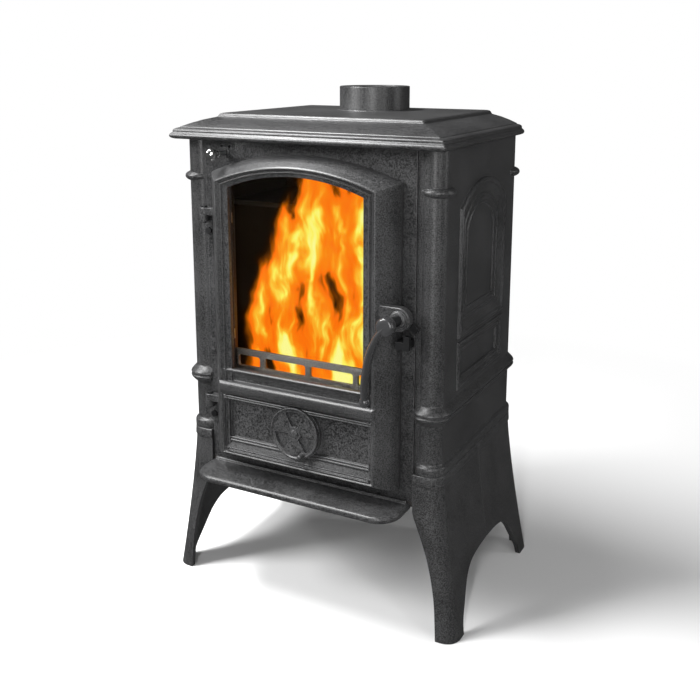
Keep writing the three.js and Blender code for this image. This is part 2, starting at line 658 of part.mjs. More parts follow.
const plateEdge = [
  [6, 0], [2, 2], [0, 5], [1, 8], [4, 10.5], [4.5, 11.5], [4.2, 13], [5.5, 15.5], [9, 17], [13, 17.6], [14, 19],
  [26, 24.5], [40, 29.5], [55, 33.4], [57, 34], [58.5, 37.5], [61, 39.4], [66, topPlate.height],
];
const plateCavity = [
  [topPlate.rimWidth, -1], [topPlate.rimWidth + 2, 14], [58, 24], [70, topPlate.height - topPlate.skin],
];
const rodTopZ = bodyTopZ + 14;
const collarBoltPlaces = Array.from({ length: collarBolt.count }, (_, i) => {
  const angle = Math.PI / 2 + (2 * Math.PI * i) / collarBolt.count;
  const radius = (flue.radius + flue.flangeRadius) / 2 + 0.5;
  return [radius * Math.cos(angle), flue.y + radius * Math.sin(angle)];
});
const flueBore = flue.radius + play;
const topPlateBody = cut(
  join(
    cut(
      loft(plateEdge.map(([inset, height]) => plateSection(inset, bodyTopZ + height))),
      loft(plateCavity.map(([inset, height]) => plateSection(inset, bodyTopZ + height, topPlate.rearRim))),
    ),
    ...rodPlaces.map(([x, y]) => rodZ(x, y, rod.bossRadius, bodyTopZ, bodyTopZ + rod.bossHeight, 12)),
    turnedZ(
      [[0, topZ - 2], [flue.radius + flueBead.width, topZ - 2], [flue.radius + flueBead.width, topZ],
        [flue.radius + flueBead.width - 1, topZ + flueBead.height], [0, topZ + flueBead.height]],
      0, flue.y, 32,
    ),
  ),
  rodZ(0, flue.y, flueBore, cavityTopZ - 1, topZ + flueBead.height + 1, 32),
  ...rodPlaces.map(([x, y]) => rodZ(x, y, rod.radius + play, bodyTopZ - 1, rodTopZ + 1, 12)),
  ...collarBoltPlaces.map(([x, y]) =>
    rodZ(x, y, collarBolt.radius + play, cavityTopZ - 1, cavityTopZ + 9, 10)),
);
piece(body, "top_plate", topPlateBody, castIron);

const flangeTop = cavityTopZ - gap;
const flangeBottom = flangeTop - flue.flangeThickness;
const fluePart = cut(
  turnedZ(
    [
      [flue.radius - flue.wall, flangeBottom], [flue.flangeRadius, flangeBottom], [flue.flangeRadius, flangeTop],
      [flue.radius, flangeTop], [flue.radius, flue.top - 1.5], [flue.radius - 1.5, flue.top],
      [flue.radius - flue.wall + 1.5, flue.top], [flue.radius - flue.wall, flue.top - 1.5],
      [flue.radius - flue.wall, flangeBottom],
    ],
    0, flue.y, 40,
  ),
  ...collarBoltPlaces.map(([x, y]) => rodZ(x, y, collarBolt.radius + play, flangeBottom - 1, flangeTop + 1, 10)),
);
piece(body, "flue_collar", fluePart, castIron);
const collarHead = { radius: collarBolt.headRadius, height: collarBolt.headHeight };
pieces(
  body, "collar_bolt", collarBoltPlaces,
  (x, y) => boltUp(x, y, collarBolt.radius, collarHead, flangeBottom - gap, cavityTopZ + 8),
  zinc,
);

// ---------------------------------------------------------------- tie rods

const tieRod = (x, y) => join(
  rodZ(x, y, rod.radius, floorBottomZ - rod.nutHeight - 3, rodTopZ, 10),
  rodZ(x, y, rod.nutRadius, floorBottomZ - gap - rod.nutHeight, floorBottomZ - gap, 6),
);
pieces(body, "tie_rod", rodPlaces, tieRod, zinc);

// ---------------------------------------------------------------- grate, guard, liners and baffle

const grateNarrow = rod.x - rod.radius - 4;
const grateWide = innerWallX - grate.sideClear;
const grateFront = columnRadius + 2;
const grateBack = columnDepth - columnRadius - 2;
const grateEnd = rod.rearY - rod.radius - 2;
const grateShape = shapeOf([
  [-grateNarrow, frontBackY + 4], [grateNarrow, frontBackY + 4], [grateNarrow, grateFront], [grateWide, grateFront],
  [grateWide, grateBack], [grateNarrow, grateBack], [grateNarrow, grateEnd], [-grateNarrow, grateEnd],
  [-grateNarrow, grateBack], [-grateWide, grateBack], [-grateWide, grateFront], [-grateNarrow, grateFront],
]);
const slotFront = 30;
const slotBack = 236;
const grateSlots = Array.from({ length: grate.slots }, (_, i) => {
  const x = (i - (grate.slots - 1) / 2) * grate.slotPitch;
  return box(x - grate.slotWidth / 2, x + grate.slotWidth / 2, slotFront, slotBack, grate.z - 1, grateTopZ + 1);
});
piece(body, "fire_grate", cut(slabXY(grateShape, grate.z, grateTopZ), ...grateSlots), innerIron);

const guardBottom = ashOpening.top + crossRail + gap;
const guardHalf = mouthHalf - 0.5;
const windowEdges = [-guardHalf + guard.endPost, -guard.pitch, 0, guard.pitch, guardHalf - guard.endPost];
const guardWindows = windowEdges.slice(0, -1).map((left, i) => {
  const right = windowEdges[i + 1];
  const x0 = i === 0 ? left : left + guard.post / 2;
  const x1 = i === windowEdges.length - 2 ? right : right - guard.post / 2;
  return box(x0, x1, frontFaceY - 1, frontBackY + 1, guardBottom + guard.bottomRail, guard.top - guard.topRail);
});
piece(
  body, "log_guard",
  cut(box(-guardHalf, guardHalf, frontFaceY + 1, frontBackY - 1, guardBottom, guard.top), ...guardWindows),
  innerIron,
);

const linerBottom = grateTopZ + gap;
const linerBack = columnDepth - columnRadius - 18;
const rightLiner = box(innerWallX - gap - brick.thickness, innerWallX - gap, grateFront, linerBack, linerBottom, brick.top);
piece(body, "right_liner", rightLiner, fireBrick);
piece(body, "left_liner", mirrored(rightLiner), fireBrick);
const rearLinerHalf = innerWallX - brick.thickness - 10;
piece(
  body, "rear_liner",
  box(-rearLinerHalf, rearLinerHalf, linerBack + gap, linerBack + gap + brick.thickness, linerBottom, brick.top),
  fireBrick,
);
const baffleHalf = innerWallX - brick.thickness / 2;
piece(
  body, "baffle_plate",
  box(
    -baffleHalf, baffleHalf, baffle.front, linerBack + brick.thickness / 2,
    brick.top + gap, brick.top + gap + baffle.thickness,
  ),
  innerIron,
);

// ---------------------------------------------------------------- hinges on the front plate

const knuckleTops = hinge.tops.map((top) => top - hinge.knuckleHeight - gap);

function hingeBracket(index) {
  const top = knuckleTops[index];
  const bottom = top - hinge.knuckleHeight;
  const plateRight = hinge.x + hingePlate.width / 2;
  const base = box(
    -plateHalfWidth + 0.3, plateRight, frontFaceY - gap - hingePlate.thickness, frontFaceY - gap,
    top - hingePlate.height, top,
  );
  const arm = box(hinge.x - 5, hinge.x + 5, hinge.y, frontFaceY - gap - 1, bottom, top);
  const knuckle = rodZ(hinge.x, hinge.y, hinge.knuckleRadius, bottom, top, 20);
  return cut(
    join(base, arm, knuckle),
    rodZ(hinge.x, hinge.y, hinge.pinRadius + 0.1, bottom - 1, top + 1, 16),
    hingeBolts(play, frontFaceY - 10, frontFaceY)[index],
  );
}

piece(body, "upper_hinge_bracket", hingeBracket(0), castIron);
piece(body, "lower_hinge_bracket", hingeBracket(1), castIron);
["upper_hinge_pin", "lower_hinge_pin"].forEach((name, i) => {
  const pinBottom = knuckleTops[i] - hinge.knuckleHeight - 3;
  const pinHead = hinge.tops[i] + gap;
  piece(
    body, name,
    join(
      rodZ(hinge.x, hinge.y, hinge.pinRadius, pinBottom, pinHead + 1, 16),
      rodZ(hinge.x, hinge.y, hinge.pinRadius + 2, pinHead, pinHead + 3, 16),
    ),
    zinc,
  );
});
const hingeBoltHeadY = frontFaceY - gap - hingePlate.thickness - gap;
["upper_hinge_bolt", "lower_hinge_bolt"].forEach((name, i) => {
  const z = hinge.tops[i] - 2 * hinge.knuckleHeight - 18;
  const head = rodY(hinge.x, z, hingePlate.headRadius, hingeBoltHeadY - hingePlate.headHeight, hingeBoltHeadY, 6);
  piece(body, name, join(hingeBolts(0, hingeBoltHeadY - 1, frontBackY)[i], head), zinc);
});

// ---------------------------------------------------------------- latch keeper

const keeperPart = join(
  box(keeper.right - keeper.width, keeper.right, keeperLip.front, frontFaceY - gap, keeper.baseBottom, keeper.baseTop),
  box(keeper.lipLeft, keeper.lipRight, keeperLip.front, keeperLip.back, keeper.baseBottom, keeper.lipTop),
);
piece(body, "latch_keeper", keeperPart, castIron);

// ---------------------------------------------------------------- ash pan and runners

const rightRunner = box(
  runner.x - runner.width / 2, runner.x + runner.width / 2, runner.front, runner.back, floorTopZ + gap, panFloorZ - gap,
);
piece(body, "right_pan_runner", rightRunner, innerIron);
piece(body, "left_pan_runner", mirrored(rightRunner), innerIron);

function panSection(inset, z, half = pan.halfWidth) {
  const [x, y0, y1] = [half - inset, pan.front + inset, pan.back - inset];
  return [[-x, y0, z], [x, y0, z], [x, y1, z], [-x, y1, z]];
}

const panTop = panFloorZ + pan.height;
const ashPan = new THREE.Group();
body.add(ashPan);
piece(
  ashPan, "ash_pan",
  cut(
    loft([panSection(pan.draft, panFloorZ), panSection(0, panTop)]),
    loft([panSection(pan.draft + pan.wall, panFloorZ + pan.wall), panSection(pan.wall, panTop + 1)]),
  ),
  panSteel,
);

const panFaceY = pan.front + pan.draft * (1 - (panHandle.z - panFloorZ) / pan.height);
const bail = new THREE.CatmullRomCurve3(
  [
    [-panHandle.halfWidth, panFaceY - gap - 0.4], [-panHandle.halfWidth, panFaceY - 8],
    [-panHandle.halfWidth + 7, panFaceY - panHandle.reach], [0, panFaceY - panHandle.reach],
    [panHandle.halfWidth - 7, panFaceY - panHandle.reach], [panHandle.halfWidth, panFaceY - 8],
    [panHandle.halfWidth, panFaceY - gap - 0.4],
  ].map(([x, y]) => new THREE.Vector3(x, y, panHandle.z)),
);
const bailSection = new THREE.Shape();
bailSection.absarc(0, 0, panHandle.radius, 0, 2 * Math.PI);
piece(
  ashPan, "ash_pan_handle",
  solid(new THREE.ExtrudeGeometry(bailSection, { extrudePath: bail, steps: 24, curveSegments: 4, bevelEnabled: false })),
  panSteel,
);

// ---------------------------------------------------------------- door frame

const frameMoulding = cut(doorMoulding([
  [0, door.back], [0, -27], [2.5, -35], [6.5, -42], [12, -49], [18, -55.5], [23, -61], [26, door.ridge],
  [28.5, -62.8], [31, -60.5], [33, -58.8], [34.2, -58.8], [35.3, -61.4], [36.6, -61.4], [37.4, -59.6], [38.5, glassSeat.front],
  [glassSeat.inset, glassSeat.front], [glassSeat.inset, glassSeat.back], [36, glassSeat.back],
  [32, -54.5], [26, -57.5], [22, -52], [21, -40], [21, -25], [17, -25], [17, rope.grooveFloor], [8, rope.grooveFloor], [8, door.back],
]), box(-panelField.halfWidth, panelField.halfWidth, door.ridge - 1, panelField.front, panelField.bottom, panelField.top));

// The lower half of the door: sill, cove, beads, recessed field and bottom bevel, drawn in y and z
const panelProfile = [
  [glassSeat.back, sillZ], [-58, sillZ], [-60, sillZ - 1.5], [-60, sillZ - 4], [-56.5, sillZ - 7], [-54, sillZ - 15],
  [-55, 375], [-60, 373], [-60, 353], [-61.5, 352], [-61.5, 350.2], [-59, 349.4], [-59.6, 347.4], [-58.5, 346],
  [-54, 345], [panelField.front, 342], [panelField.front, 275], [-53, 273.5], [-57.6, 263], [-58, panelField.foot],
  [panelField.back, panelField.foot], [panelField.back, glassSeat.bottom], [glassSeat.back, glassSeat.bottom],
];
const panelHalf = panelField.halfWidth + 0.5;
const lowerPanel = slabYZ(shapeOf(panelProfile), -panelHalf, panelHalf);
const panelWebs = [-1, 1].map((side) => {
  const [inner, outer] = [side * (panelField.halfWidth - 6), side * (panelField.halfWidth + 3)];
  return box(Math.min(inner, outer), Math.max(inner, outer), -56, panelField.back, panelField.foot, glassSeat.bottom);
});

// The ledge bar is a half-round moulding whose ends are mitred and slope back over the stiles
const barProfile = [
  [ledgeBar.back, ledgeBar.top - 1], [-62, ledgeBar.top], [ledgeBar.front + 1, ledgeBar.top - 2.5],
  [ledgeBar.front, ledgeBar.top - 6], [ledgeBar.front, ledgeBar.bottom + 9], [ledgeBar.front + 2, ledgeBar.bottom + 4],
  [-61, ledgeBar.bottom], [ledgeBar.back, ledgeBar.bottom],
];
const barPlan = [[159, -40], [154, -49], [143, -61], [137.5, ledgeBar.front]];
const barReach = shapeOf([...barPlan, ...barPlan.map(([x, y]) => [-x, y]).reverse()]);
const barEnd = (z) => ledgeBar.halfWidth - (ledgeBar.mitre * (ledgeBar.top - z)) / (ledgeBar.top - ledgeBar.bottom);
const bar = loft([-1, 1].map((side) => barProfile.map(([y, z]) => [side * barEnd(z), y, z])), { plane: [1, 2] })
  .intersect(slabXY(barReach, ledgeBar.bottom - 1, ledgeBar.top + 1));

function sectorShape(middle) {
  const half = spinner.slotAngle / 2;
  const [from, to] = [middle - half, middle + half].map(THREE.MathUtils.degToRad);
  const shape = new THREE.Shape();
  shape.absarc(0, 0, spinner.slotOuter, from, to, false);
  shape.absarc(0, 0, spinner.slotInner, to, from, true);
  shape.closePath();
  return shape;
}

const slotMiddles = Array.from({ length: spinner.slots }, (_, i) => 90 + (360 * i) / spinner.slots);

// Sector holes from y0 to y1, turned from the upright by an angle
function sectorCutters(y0, y1, turn = 0) {
  return slotMiddles.map((middle) => {
    const settings = { depth: y1 - y0, bevelEnabled: false, curveSegments: 5 };
    const geometry = new THREE.ExtrudeGeometry(sectorShape(middle + turn), settings);
    geometry.rotateX(Math.PI / 2);
    geometry.translate(0, y1, spinner.z);
    return solid(geometry);
  });
}

const spinnerSeat = rodY(0, spinner.z, spinnerBoss.radius, spinnerBoss.front, panelField.back, 36);

const earPart = join(
  slabXZ(
    shapeOf([[latch.x - 32, latch.z - 18], [latch.x, latch.z - 18], [latch.x, latch.z + 18], [latch.x - 32, latch.z + 18]]),
    latch.earFront, latch.earBack,
  ),
  rodY(latch.x, latch.z, latch.earRadius, latch.earFront, latch.earBack, 28),
  turnedY(
    [[0, latch.earFront - latch.bossHeight], [latch.bossRadius - 1.5, latch.earFront - latch.bossHeight],
      [latch.bossRadius, latch.earFront - latch.bossHeight + 1.5],
      [latch.bossRadius, latch.earFront + 1], [0, latch.earFront + 1]],
    latch.x, latch.z, 24,
  ),
);
const lugs = hinge.tops.map((top) => join(
  rodZ(hinge.x, hinge.y, hinge.knuckleRadius, top - hinge.knuckleHeight, top, 20),
  box(hinge.x, -door.halfWidth + 12, hinge.y - 6, hinge.y + 6, top - hinge.knuckleHeight, top),
));
const clipX = door.halfWidth - 31;
const clipPlaces = clip.z.flatMap((z) => [-clipX, clipX].map((x) => [x, z]));
const clipBossBack = glassFrontY + glass.thickness;
const clipBosses = clipPlaces.map(([x, z]) => rodY(x, z, 4.5, -57.5, clipBossBack, 12));
const doorFrame = cut(
  join(frameMoulding, lowerPanel, ...panelWebs, bar, spinnerSeat, earPart, ...lugs, ...clipBosses),
  rodY(0, spinner.z, spinnerBoss.radius, ledgeBar.front - 1, spinnerBoss.front, 36),
  ...sectorCutters(spinnerBoss.front - 1, panelField.back + 1, spinner.shut),
  rodY(0, spinner.z, stud.radius + play, spinnerBoss.front - 1, panelField.back + 1, 12),
  rodY(latch.x, latch.z, spindle.radius + play, latch.earFront - 8, latch.earBack + 1, 16),
  ...hinge.tops.map((top) => rodZ(hinge.x, hinge.y, hinge.pinRadius + 0.1, top - hinge.knuckleHeight - 1, top + 1, 16)),
  ...clipPlaces.map(([x, z]) => rodY(x, z, clip.screwRadius + play, -57, clipBossBack + 1, 8)),
);
piece(doorGroup, "door_frame", doorFrame, castIron);

// ---------------------------------------------------------------- glass, gasket, clips and rope

const glassBottom = glassSeat.bottom + gap;
const glassPane = slabXZ(
  shapeOf(doorOutline(glass.inset, { bottom: glassBottom })), glassFrontY, glassFrontY + glass.thickness,
);
piece(doorGroup, "door_glass", glassPane, ceramicGlass);
const gasketOuter = glass.inset + 0.5;
const gasketFront = glassSeat.back + gap;
piece(
  doorGroup, "glass_gasket",
  cut(
    slabXZ(shapeOf(doorOutline(gasketOuter, { bottom: glassBottom + 0.5 })), gasketFront, gasketFront + gasket.thickness),
    slabXZ(
      shapeOf(doorOutline(gasketOuter + gasket.width, { bottom: glassBottom + 0.5 + gasket.width })),
      gasketFront - 1, gasketFront + gasket.thickness + 1,
    ),
  ),
  ropeSeal,
);
const clipFront = clipBossBack + gap;
const clipBack = clipFront + clip.thickness;
function glassClip(x, z) {
  const side = Math.sign(x);
  const [a, b] = [side * (clipX + 6), side * (clipX + 6 - clip.width)];
  return join(
    box(Math.min(a, b), Math.max(a, b), clipFront, clipBack, z - clip.height / 2, z + clip.height / 2),
    rodY(x, z, clip.screwRadius, -56, clipBack + 1, 8),
    rodY(x, z, clip.headRadius, clipBack - 0.5, clipBack + clip.headHeight, 10),
  );
}

pieces(doorGroup, "glass_clip", clipPlaces, glassClip, zinc);
const ropeY = (door.back + rope.grooveFloor) / 2 + (door.back - frontFaceY) / 2 + rope.lift;
const ropeProfile = Array.from({ length: 8 }, (_, i) => {
  const angle = (Math.PI * (i + 0.5)) / 4;
  return [rope.inset + rope.radius * Math.cos(angle), ropeY + rope.radius * Math.sin(angle)];
});
piece(doorGroup, "door_rope_seal", doorMoulding(ropeProfile), ropeSeal);

// ---------------------------------------------------------------- air spinner

const spinnerBack = spinnerBoss.front - gap;
const spinnerFront = spinnerBack - spinner.thickness;
const spinnerGroup = new THREE.Group();
doorGroup.add(spinnerGroup);
const pegAngle = THREE.MathUtils.degToRad(spinnerPeg.angle);
const pegX = spinnerPeg.offset * Math.cos(pegAngle);
const pegZ = spinner.z + spinnerPeg.offset * Math.sin(pegAngle);
const spinnerDisc = turnedY(
  [
    [0, spinnerBack], [spinner.radius, spinnerBack], [spinner.radius, spinnerFront - spinnerRim.height + 1],
    [spinner.radius - 1.2, spinnerFront - spinnerRim.height],
    [spinner.radius - spinnerRim.width + 1, spinnerFront - spinnerRim.height],
    [spinner.radius - spinnerRim.width, spinnerFront], [0, spinnerFront],
  ],
  0, spinner.z, 36,
);
piece(
  spinnerGroup, "air_spinner",
  cut(
    join(
      spinnerDisc,
      turnedY(
        [[0, spinnerFront - spinnerPeg.length], [spinnerPeg.radius - 1, spinnerFront - spinnerPeg.length],
          [spinnerPeg.radius, spinnerFront - spinnerPeg.length + 1.5], [spinnerPeg.radius, spinnerFront + 1], [0, spinnerFront + 1]],
        pegX, pegZ, 12,
      ),
    ),
    ...sectorCutters(spinnerFront - 6, spinnerBack + 1),
    rodY(0, spinner.z, stud.radius + play, spinnerFront - 1, spinnerBack + 1, 12),
  ),
  castIron,
);
const studHeadBack = spinnerFront - gap;
const studEnd = panelField.back + gap + stud.nutHeight + 2;
piece(
  doorGroup, "spinner_stud",
  join(
    rodY(0, spinner.z, stud.radius, studHeadBack - 1, studEnd, 12),
    turnedY(
      [[0, studHeadBack - stud.headHeight], [stud.headRadius - 3, studHeadBack - stud.headHeight],
        [stud.headRadius, studHeadBack - 1.5], [stud.headRadius, studHeadBack], [0, studHeadBack]],
      0, spinner.z, 16,
    ),
    rodY(0, spinner.z, stud.nutRadius, panelField.back + gap, panelField.back + gap + stud.nutHeight, 6),
  ),
  castIron,
);

// ---------------------------------------------------------------- door handle and latch

const handleGroup = new THREE.Group();
doorGroup.add(handleGroup);
const gripCurve = new THREE.CatmullRomCurve3(gripPath.map(([x, z]) => new THREE.Vector3(x, grip.y, z)));

function gripBar() {
  const steps = 12;
  const around = 12;
  const rings = Array.from({ length: steps + 1 }, (_, i) => {
    const t = i / steps;
    const centre = gripCurve.getPoint(t);
    const tangent = gripCurve.getTangent(t);
    const across = new THREE.Vector3(tangent.z, 0, -tangent.x);
    const swell = 0.86 + 0.14 * Math.sin(Math.PI * Math.min(1, t * 1.2));
    return Array.from({ length: around }, (_, j) => {
      const angle = (2 * Math.PI * j) / around;
      const w = (grip.width / 2) * swell * Math.cos(angle);
      const d = (grip.depth / 2) * swell * Math.sin(angle);
      return [centre.x + across.x * w, centre.y + d, centre.z + across.z * w];
    });
  });
  return loft(rings, { plane: [0, 1] });
}

function ballOnY(x, y, z, radius) {
  const geometry = new THREE.SphereGeometry(radius, 14, 10);
  geometry.translate(x, y, z);
  return solid(geometry);
}

const [gripEndX, gripEndZ] = gripPath[gripPath.length - 1];
const gripFront = grip.y - grip.depth / 2;
const eye = turnedY(
  [[0, gripFront + 1.5], [grip.eyeRadius - 3, gripFront + 1.5], [grip.eyeRadius, gripFront + 4],
    [grip.eyeRadius, gripFront + 14], [grip.eyeRadius - 3, gripFront + 20], [0, gripFront + 20]],
  latch.x, latch.z, 20,
);
const handlePart = cut(
  join(gripBar(), eye, ballOnY(gripEndX, grip.y, gripEndZ, grip.endRadius)),
  rodY(latch.x, latch.z, spindle.radius + play, gripFront + 8, gripFront + 30, 16),
);
piece(handleGroup, "door_handle", handlePart, castIron);
const spindlePart = join(
  rodY(latch.x, latch.z, spindle.radius, gripFront + 8 + gap, spindle.back, 16),
  rodY(latch.x, latch.z, spindle.radius + 3.5, gripFront + 20 + gap, latch.earFront - latch.bossHeight - gap, 16),
);
piece(handleGroup, "handle_spindle", spindlePart, zinc);

const camAngle = THREE.MathUtils.degToRad(cam.angle);
const camBack = cam.front + cam.thickness;
const camTip = [latch.x + cam.length * Math.cos(camAngle), latch.z + cam.length * Math.sin(camAngle)];
const camAcross = [-Math.sin(camAngle) * (cam.width / 2), Math.cos(camAngle) * (cam.width / 2)];
const camPart = cut(
  join(
    slabXZ(
      shapeOf([
        [latch.x - camAcross[0], latch.z - camAcross[1]], [camTip[0] - camAcross[0], camTip[1] - camAcross[1]],
        [camTip[0] + camAcross[0], camTip[1] + camAcross[1]], [latch.x + camAcross[0], latch.z + camAcross[1]],
      ]),
      cam.front, camBack,
    ),
    rodY(latch.x, latch.z, 9.5, cam.front, camBack, 20),
  ),
  rodY(latch.x, latch.z, spindle.radius + play, cam.front - 1, camBack + 1, 16),
);
piece(handleGroup, "latch_cam", camPart, castIron);
piece(
  handleGroup, "cam_nut",
  cut(
    rodY(latch.x, latch.z, camNut.radius, camBack + gap, camBack + gap + camNut.height, 6),
    rodY(latch.x, latch.z, spindle.radius + play, camBack - 1, camBack + camNut.height + 2, 16),
  ),
  zinc,
);

// ---------------------------------------------------------------- air-wash control

const airGroup = new THREE.Group();
body.add(airGroup);
const shutterFront = frontBackY + shutter.clearance;
const rodNeck = airWash.knobFront + 14;
piece(
  airGroup, "air_wash_rod",
  rodY(airWash.x, airWash.z, airWash.rodRadius, rodNeck, airWash.rodBack, 12),
  zinc,
);
piece(
  airGroup, "air_wash_knob",
  cut(
    turnedY(
      [[0, airWash.knobFront], [5, airWash.knobFront + 0.8], [8.6, airWash.knobFront + 3.6], [airWash.knobRadius, airWash.knobFront + 8],
        [9, airWash.knobFront + 13], [5.6, airWash.knobFront + 17], [5.2, airWash.knobFront + 24], [6.4, airWash.knobFront + 26],
        [0, airWash.knobFront + 26]],
      airWash.x, airWash.z, 20,
    ),
    rodY(airWash.x, airWash.z, airWash.rodRadius + 0.3, rodNeck - 0.3, airWash.knobFront + 30, 12),
  ),
  polished,
);
piece(
  airGroup, "air_wash_shutter",
  cut(
    rodY(airWash.x, airWash.z, shutter.radius, shutterFront, shutterFront + shutter.thickness, 24),
    rodY(airWash.x, airWash.z, airWash.rodRadius + 0.3, shutterFront - 1, shutterFront + shutter.thickness + 1, 12),
  ),
  zinc,
);

export default stove;
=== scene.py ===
import math

import bmesh
import bpy
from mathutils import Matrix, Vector


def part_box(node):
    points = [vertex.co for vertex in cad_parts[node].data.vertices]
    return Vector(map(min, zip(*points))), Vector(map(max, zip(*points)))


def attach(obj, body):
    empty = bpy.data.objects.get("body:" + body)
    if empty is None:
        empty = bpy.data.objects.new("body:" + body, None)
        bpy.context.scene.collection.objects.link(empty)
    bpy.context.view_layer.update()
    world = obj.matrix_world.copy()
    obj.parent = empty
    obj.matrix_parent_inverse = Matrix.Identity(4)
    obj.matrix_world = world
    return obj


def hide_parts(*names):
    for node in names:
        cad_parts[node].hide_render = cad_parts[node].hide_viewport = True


# ------------------------ the stove's frame
# The castings are laid out in millimetres from the axes of the two front corner columns, which
# stand on y = 0. at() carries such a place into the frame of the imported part, in metres.

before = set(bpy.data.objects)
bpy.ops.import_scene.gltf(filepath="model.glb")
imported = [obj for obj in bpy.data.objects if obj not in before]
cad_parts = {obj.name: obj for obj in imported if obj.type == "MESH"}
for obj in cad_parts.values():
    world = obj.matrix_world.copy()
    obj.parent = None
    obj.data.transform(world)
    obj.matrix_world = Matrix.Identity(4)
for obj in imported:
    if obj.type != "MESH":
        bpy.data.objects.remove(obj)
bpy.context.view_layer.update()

MM = 0.001
COLUMN_X = 207
COLUMN_DEPTH = 289
COLUMN_RADIUS = 21
FRONT_AXIS_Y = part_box("back_panel")[0].y - COLUMN_DEPTH * MM
SEAM_Z = 265
BODY_TOP_Z = 760
TOP_Z = 800


def at(x, y, z):
    return Vector((x * MM, FRONT_AXIS_Y + y * MM, z * MM))


# ------------------------ camera
# It stands where the photograph was taken from: to the right of the door and a little above
# the top plate, worked out from the columns, the feet and the top plate in the photograph.

CAMERA_PLACE = at(732.57, -1247.92, 889.46)
CAMERA_YAW = 28.087
CAMERA_PITCH = 11.861
LENS_MM = 48.385
SHIFT_Y = -0.1373

camera_data = bpy.data.cameras.new("camera")
camera_data.lens = LENS_MM
camera_data.sensor_width = 36
camera_data.shift_y = SHIFT_Y
camera = bpy.data.objects.new("camera", camera_data)
camera.location = CAMERA_PLACE
camera.rotation_euler = (math.radians(90 - CAMERA_PITCH), 0, math.radians(CAMERA_YAW))
bpy.context.collection.objects.link(camera)
bpy.context.scene.camera = camera

# ------------------------ legs
# Four sand castings under the corners of the body. Each is a thin wall bent round the corner,
# with a front flange that narrows to the foot and a side wing that meets the next leg's in an arch.


def skin(rings, closed=False):
    """Faces over rings of points. Open ends are capped; closed, the last ring meets the first."""
    count = len(rings[0])
    points = [p for ring in rings for p in ring]
    spans = len(rings) if closed else len(rings) - 1
    faces = []
    for i in range(spans):
        a, b = i * count, (i + 1) % len(rings) * count
        for j in range(count):
            k = (j + 1) % count
            faces.append((a + j, a + k, b + k, b + j))
    if not closed:
        faces.append(tuple(reversed(range(count))))
        faces.append(tuple(range(len(points) - count, len(points))))
    return points, faces


def mirror_x(shell):
    points, faces = shell
    return [(-x, y, z) for x, y, z in points], faces


def mirror_y(shell, middle=COLUMN_DEPTH / 2):
    points, faces = shell
    return [(x, 2 * middle - y, z) for x, y, z in points], faces


def mesh_object(name, shells, crease=33):
    """One object from closed shells given in millimetres, smooth except across its sharp edges."""
    whole = bmesh.new()
    for points, faces in shells:
        shell = bmesh.new()
        corners = [shell.verts.new(at(*p)) for p in points]
        for face in faces:
            shell.faces.new([corners[i] for i in face])
        bmesh.ops.remove_doubles(shell, verts=shell.verts, dist=0.01 * MM)
        bmesh.ops.recalc_face_normals(shell, faces=shell.faces)
        piece = bpy.data.meshes.new(name)
        shell.to_mesh(piece)
        shell.free()
        whole.from_mesh(piece)
        bpy.data.meshes.remove(piece)
    mesh = bpy.data.meshes.new(name)
    whole.to_mesh(mesh)
    whole.free()
    mesh.shade_smooth()
    mesh.set_sharp_from_angle(angle=math.radians(crease))
    obj = bpy.data.objects.new(name, mesh)
    bpy.context.collection.objects.link(obj)
    return obj


def flat_copy(obj, crease=33):
    """The object's mesh with its modifiers applied, and the modifiers gone."""
    graph = bpy.context.evaluated_depsgraph_get()
    mesh = bpy.data.meshes.new_from_object(obj.evaluated_get(graph))
    obj.modifiers.clear()
    obj.data = mesh
    mesh.shade_smooth()
    mesh.set_sharp_from_angle(angle=math.radians(crease))
    return obj


def fit(obj, body, slot, material, *nodes):
    """The finished piece on its body, in its finish, in place of the CAD nodes that it stands for."""
    obj.data.materials.clear()
    obj.data.materials.append(material)
    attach(obj, body)
    if nodes:
        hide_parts(*nodes)
    return obj


class Value:
    """A shader socket. Arithmetic on it adds the Math nodes for it."""

    def __init__(self, finish, socket):
        self.finish = finish
        self.socket = socket

    def maths(self, operation, *others):
        return self.finish.node("Math", list(others), operation=operation)

    def __add__(self, other):
        return self.maths("ADD", self, other)

    def __sub__(self, other):
        return self.maths("SUBTRACT", self, other)

    def __rsub__(self, other):
        return self.maths("SUBTRACT", other, self)

    def __mul__(self, other):
        return self.maths("MULTIPLY", self, other)

    def __truediv__(self, other):
        return self.maths("DIVIDE", self, other)

    def clamped(self):
        return self.maths("MINIMUM", self.maths("MAXIMUM", self, 0.0), 1.0)

    __radd__ = __add__
    __rmul__ = __mul__


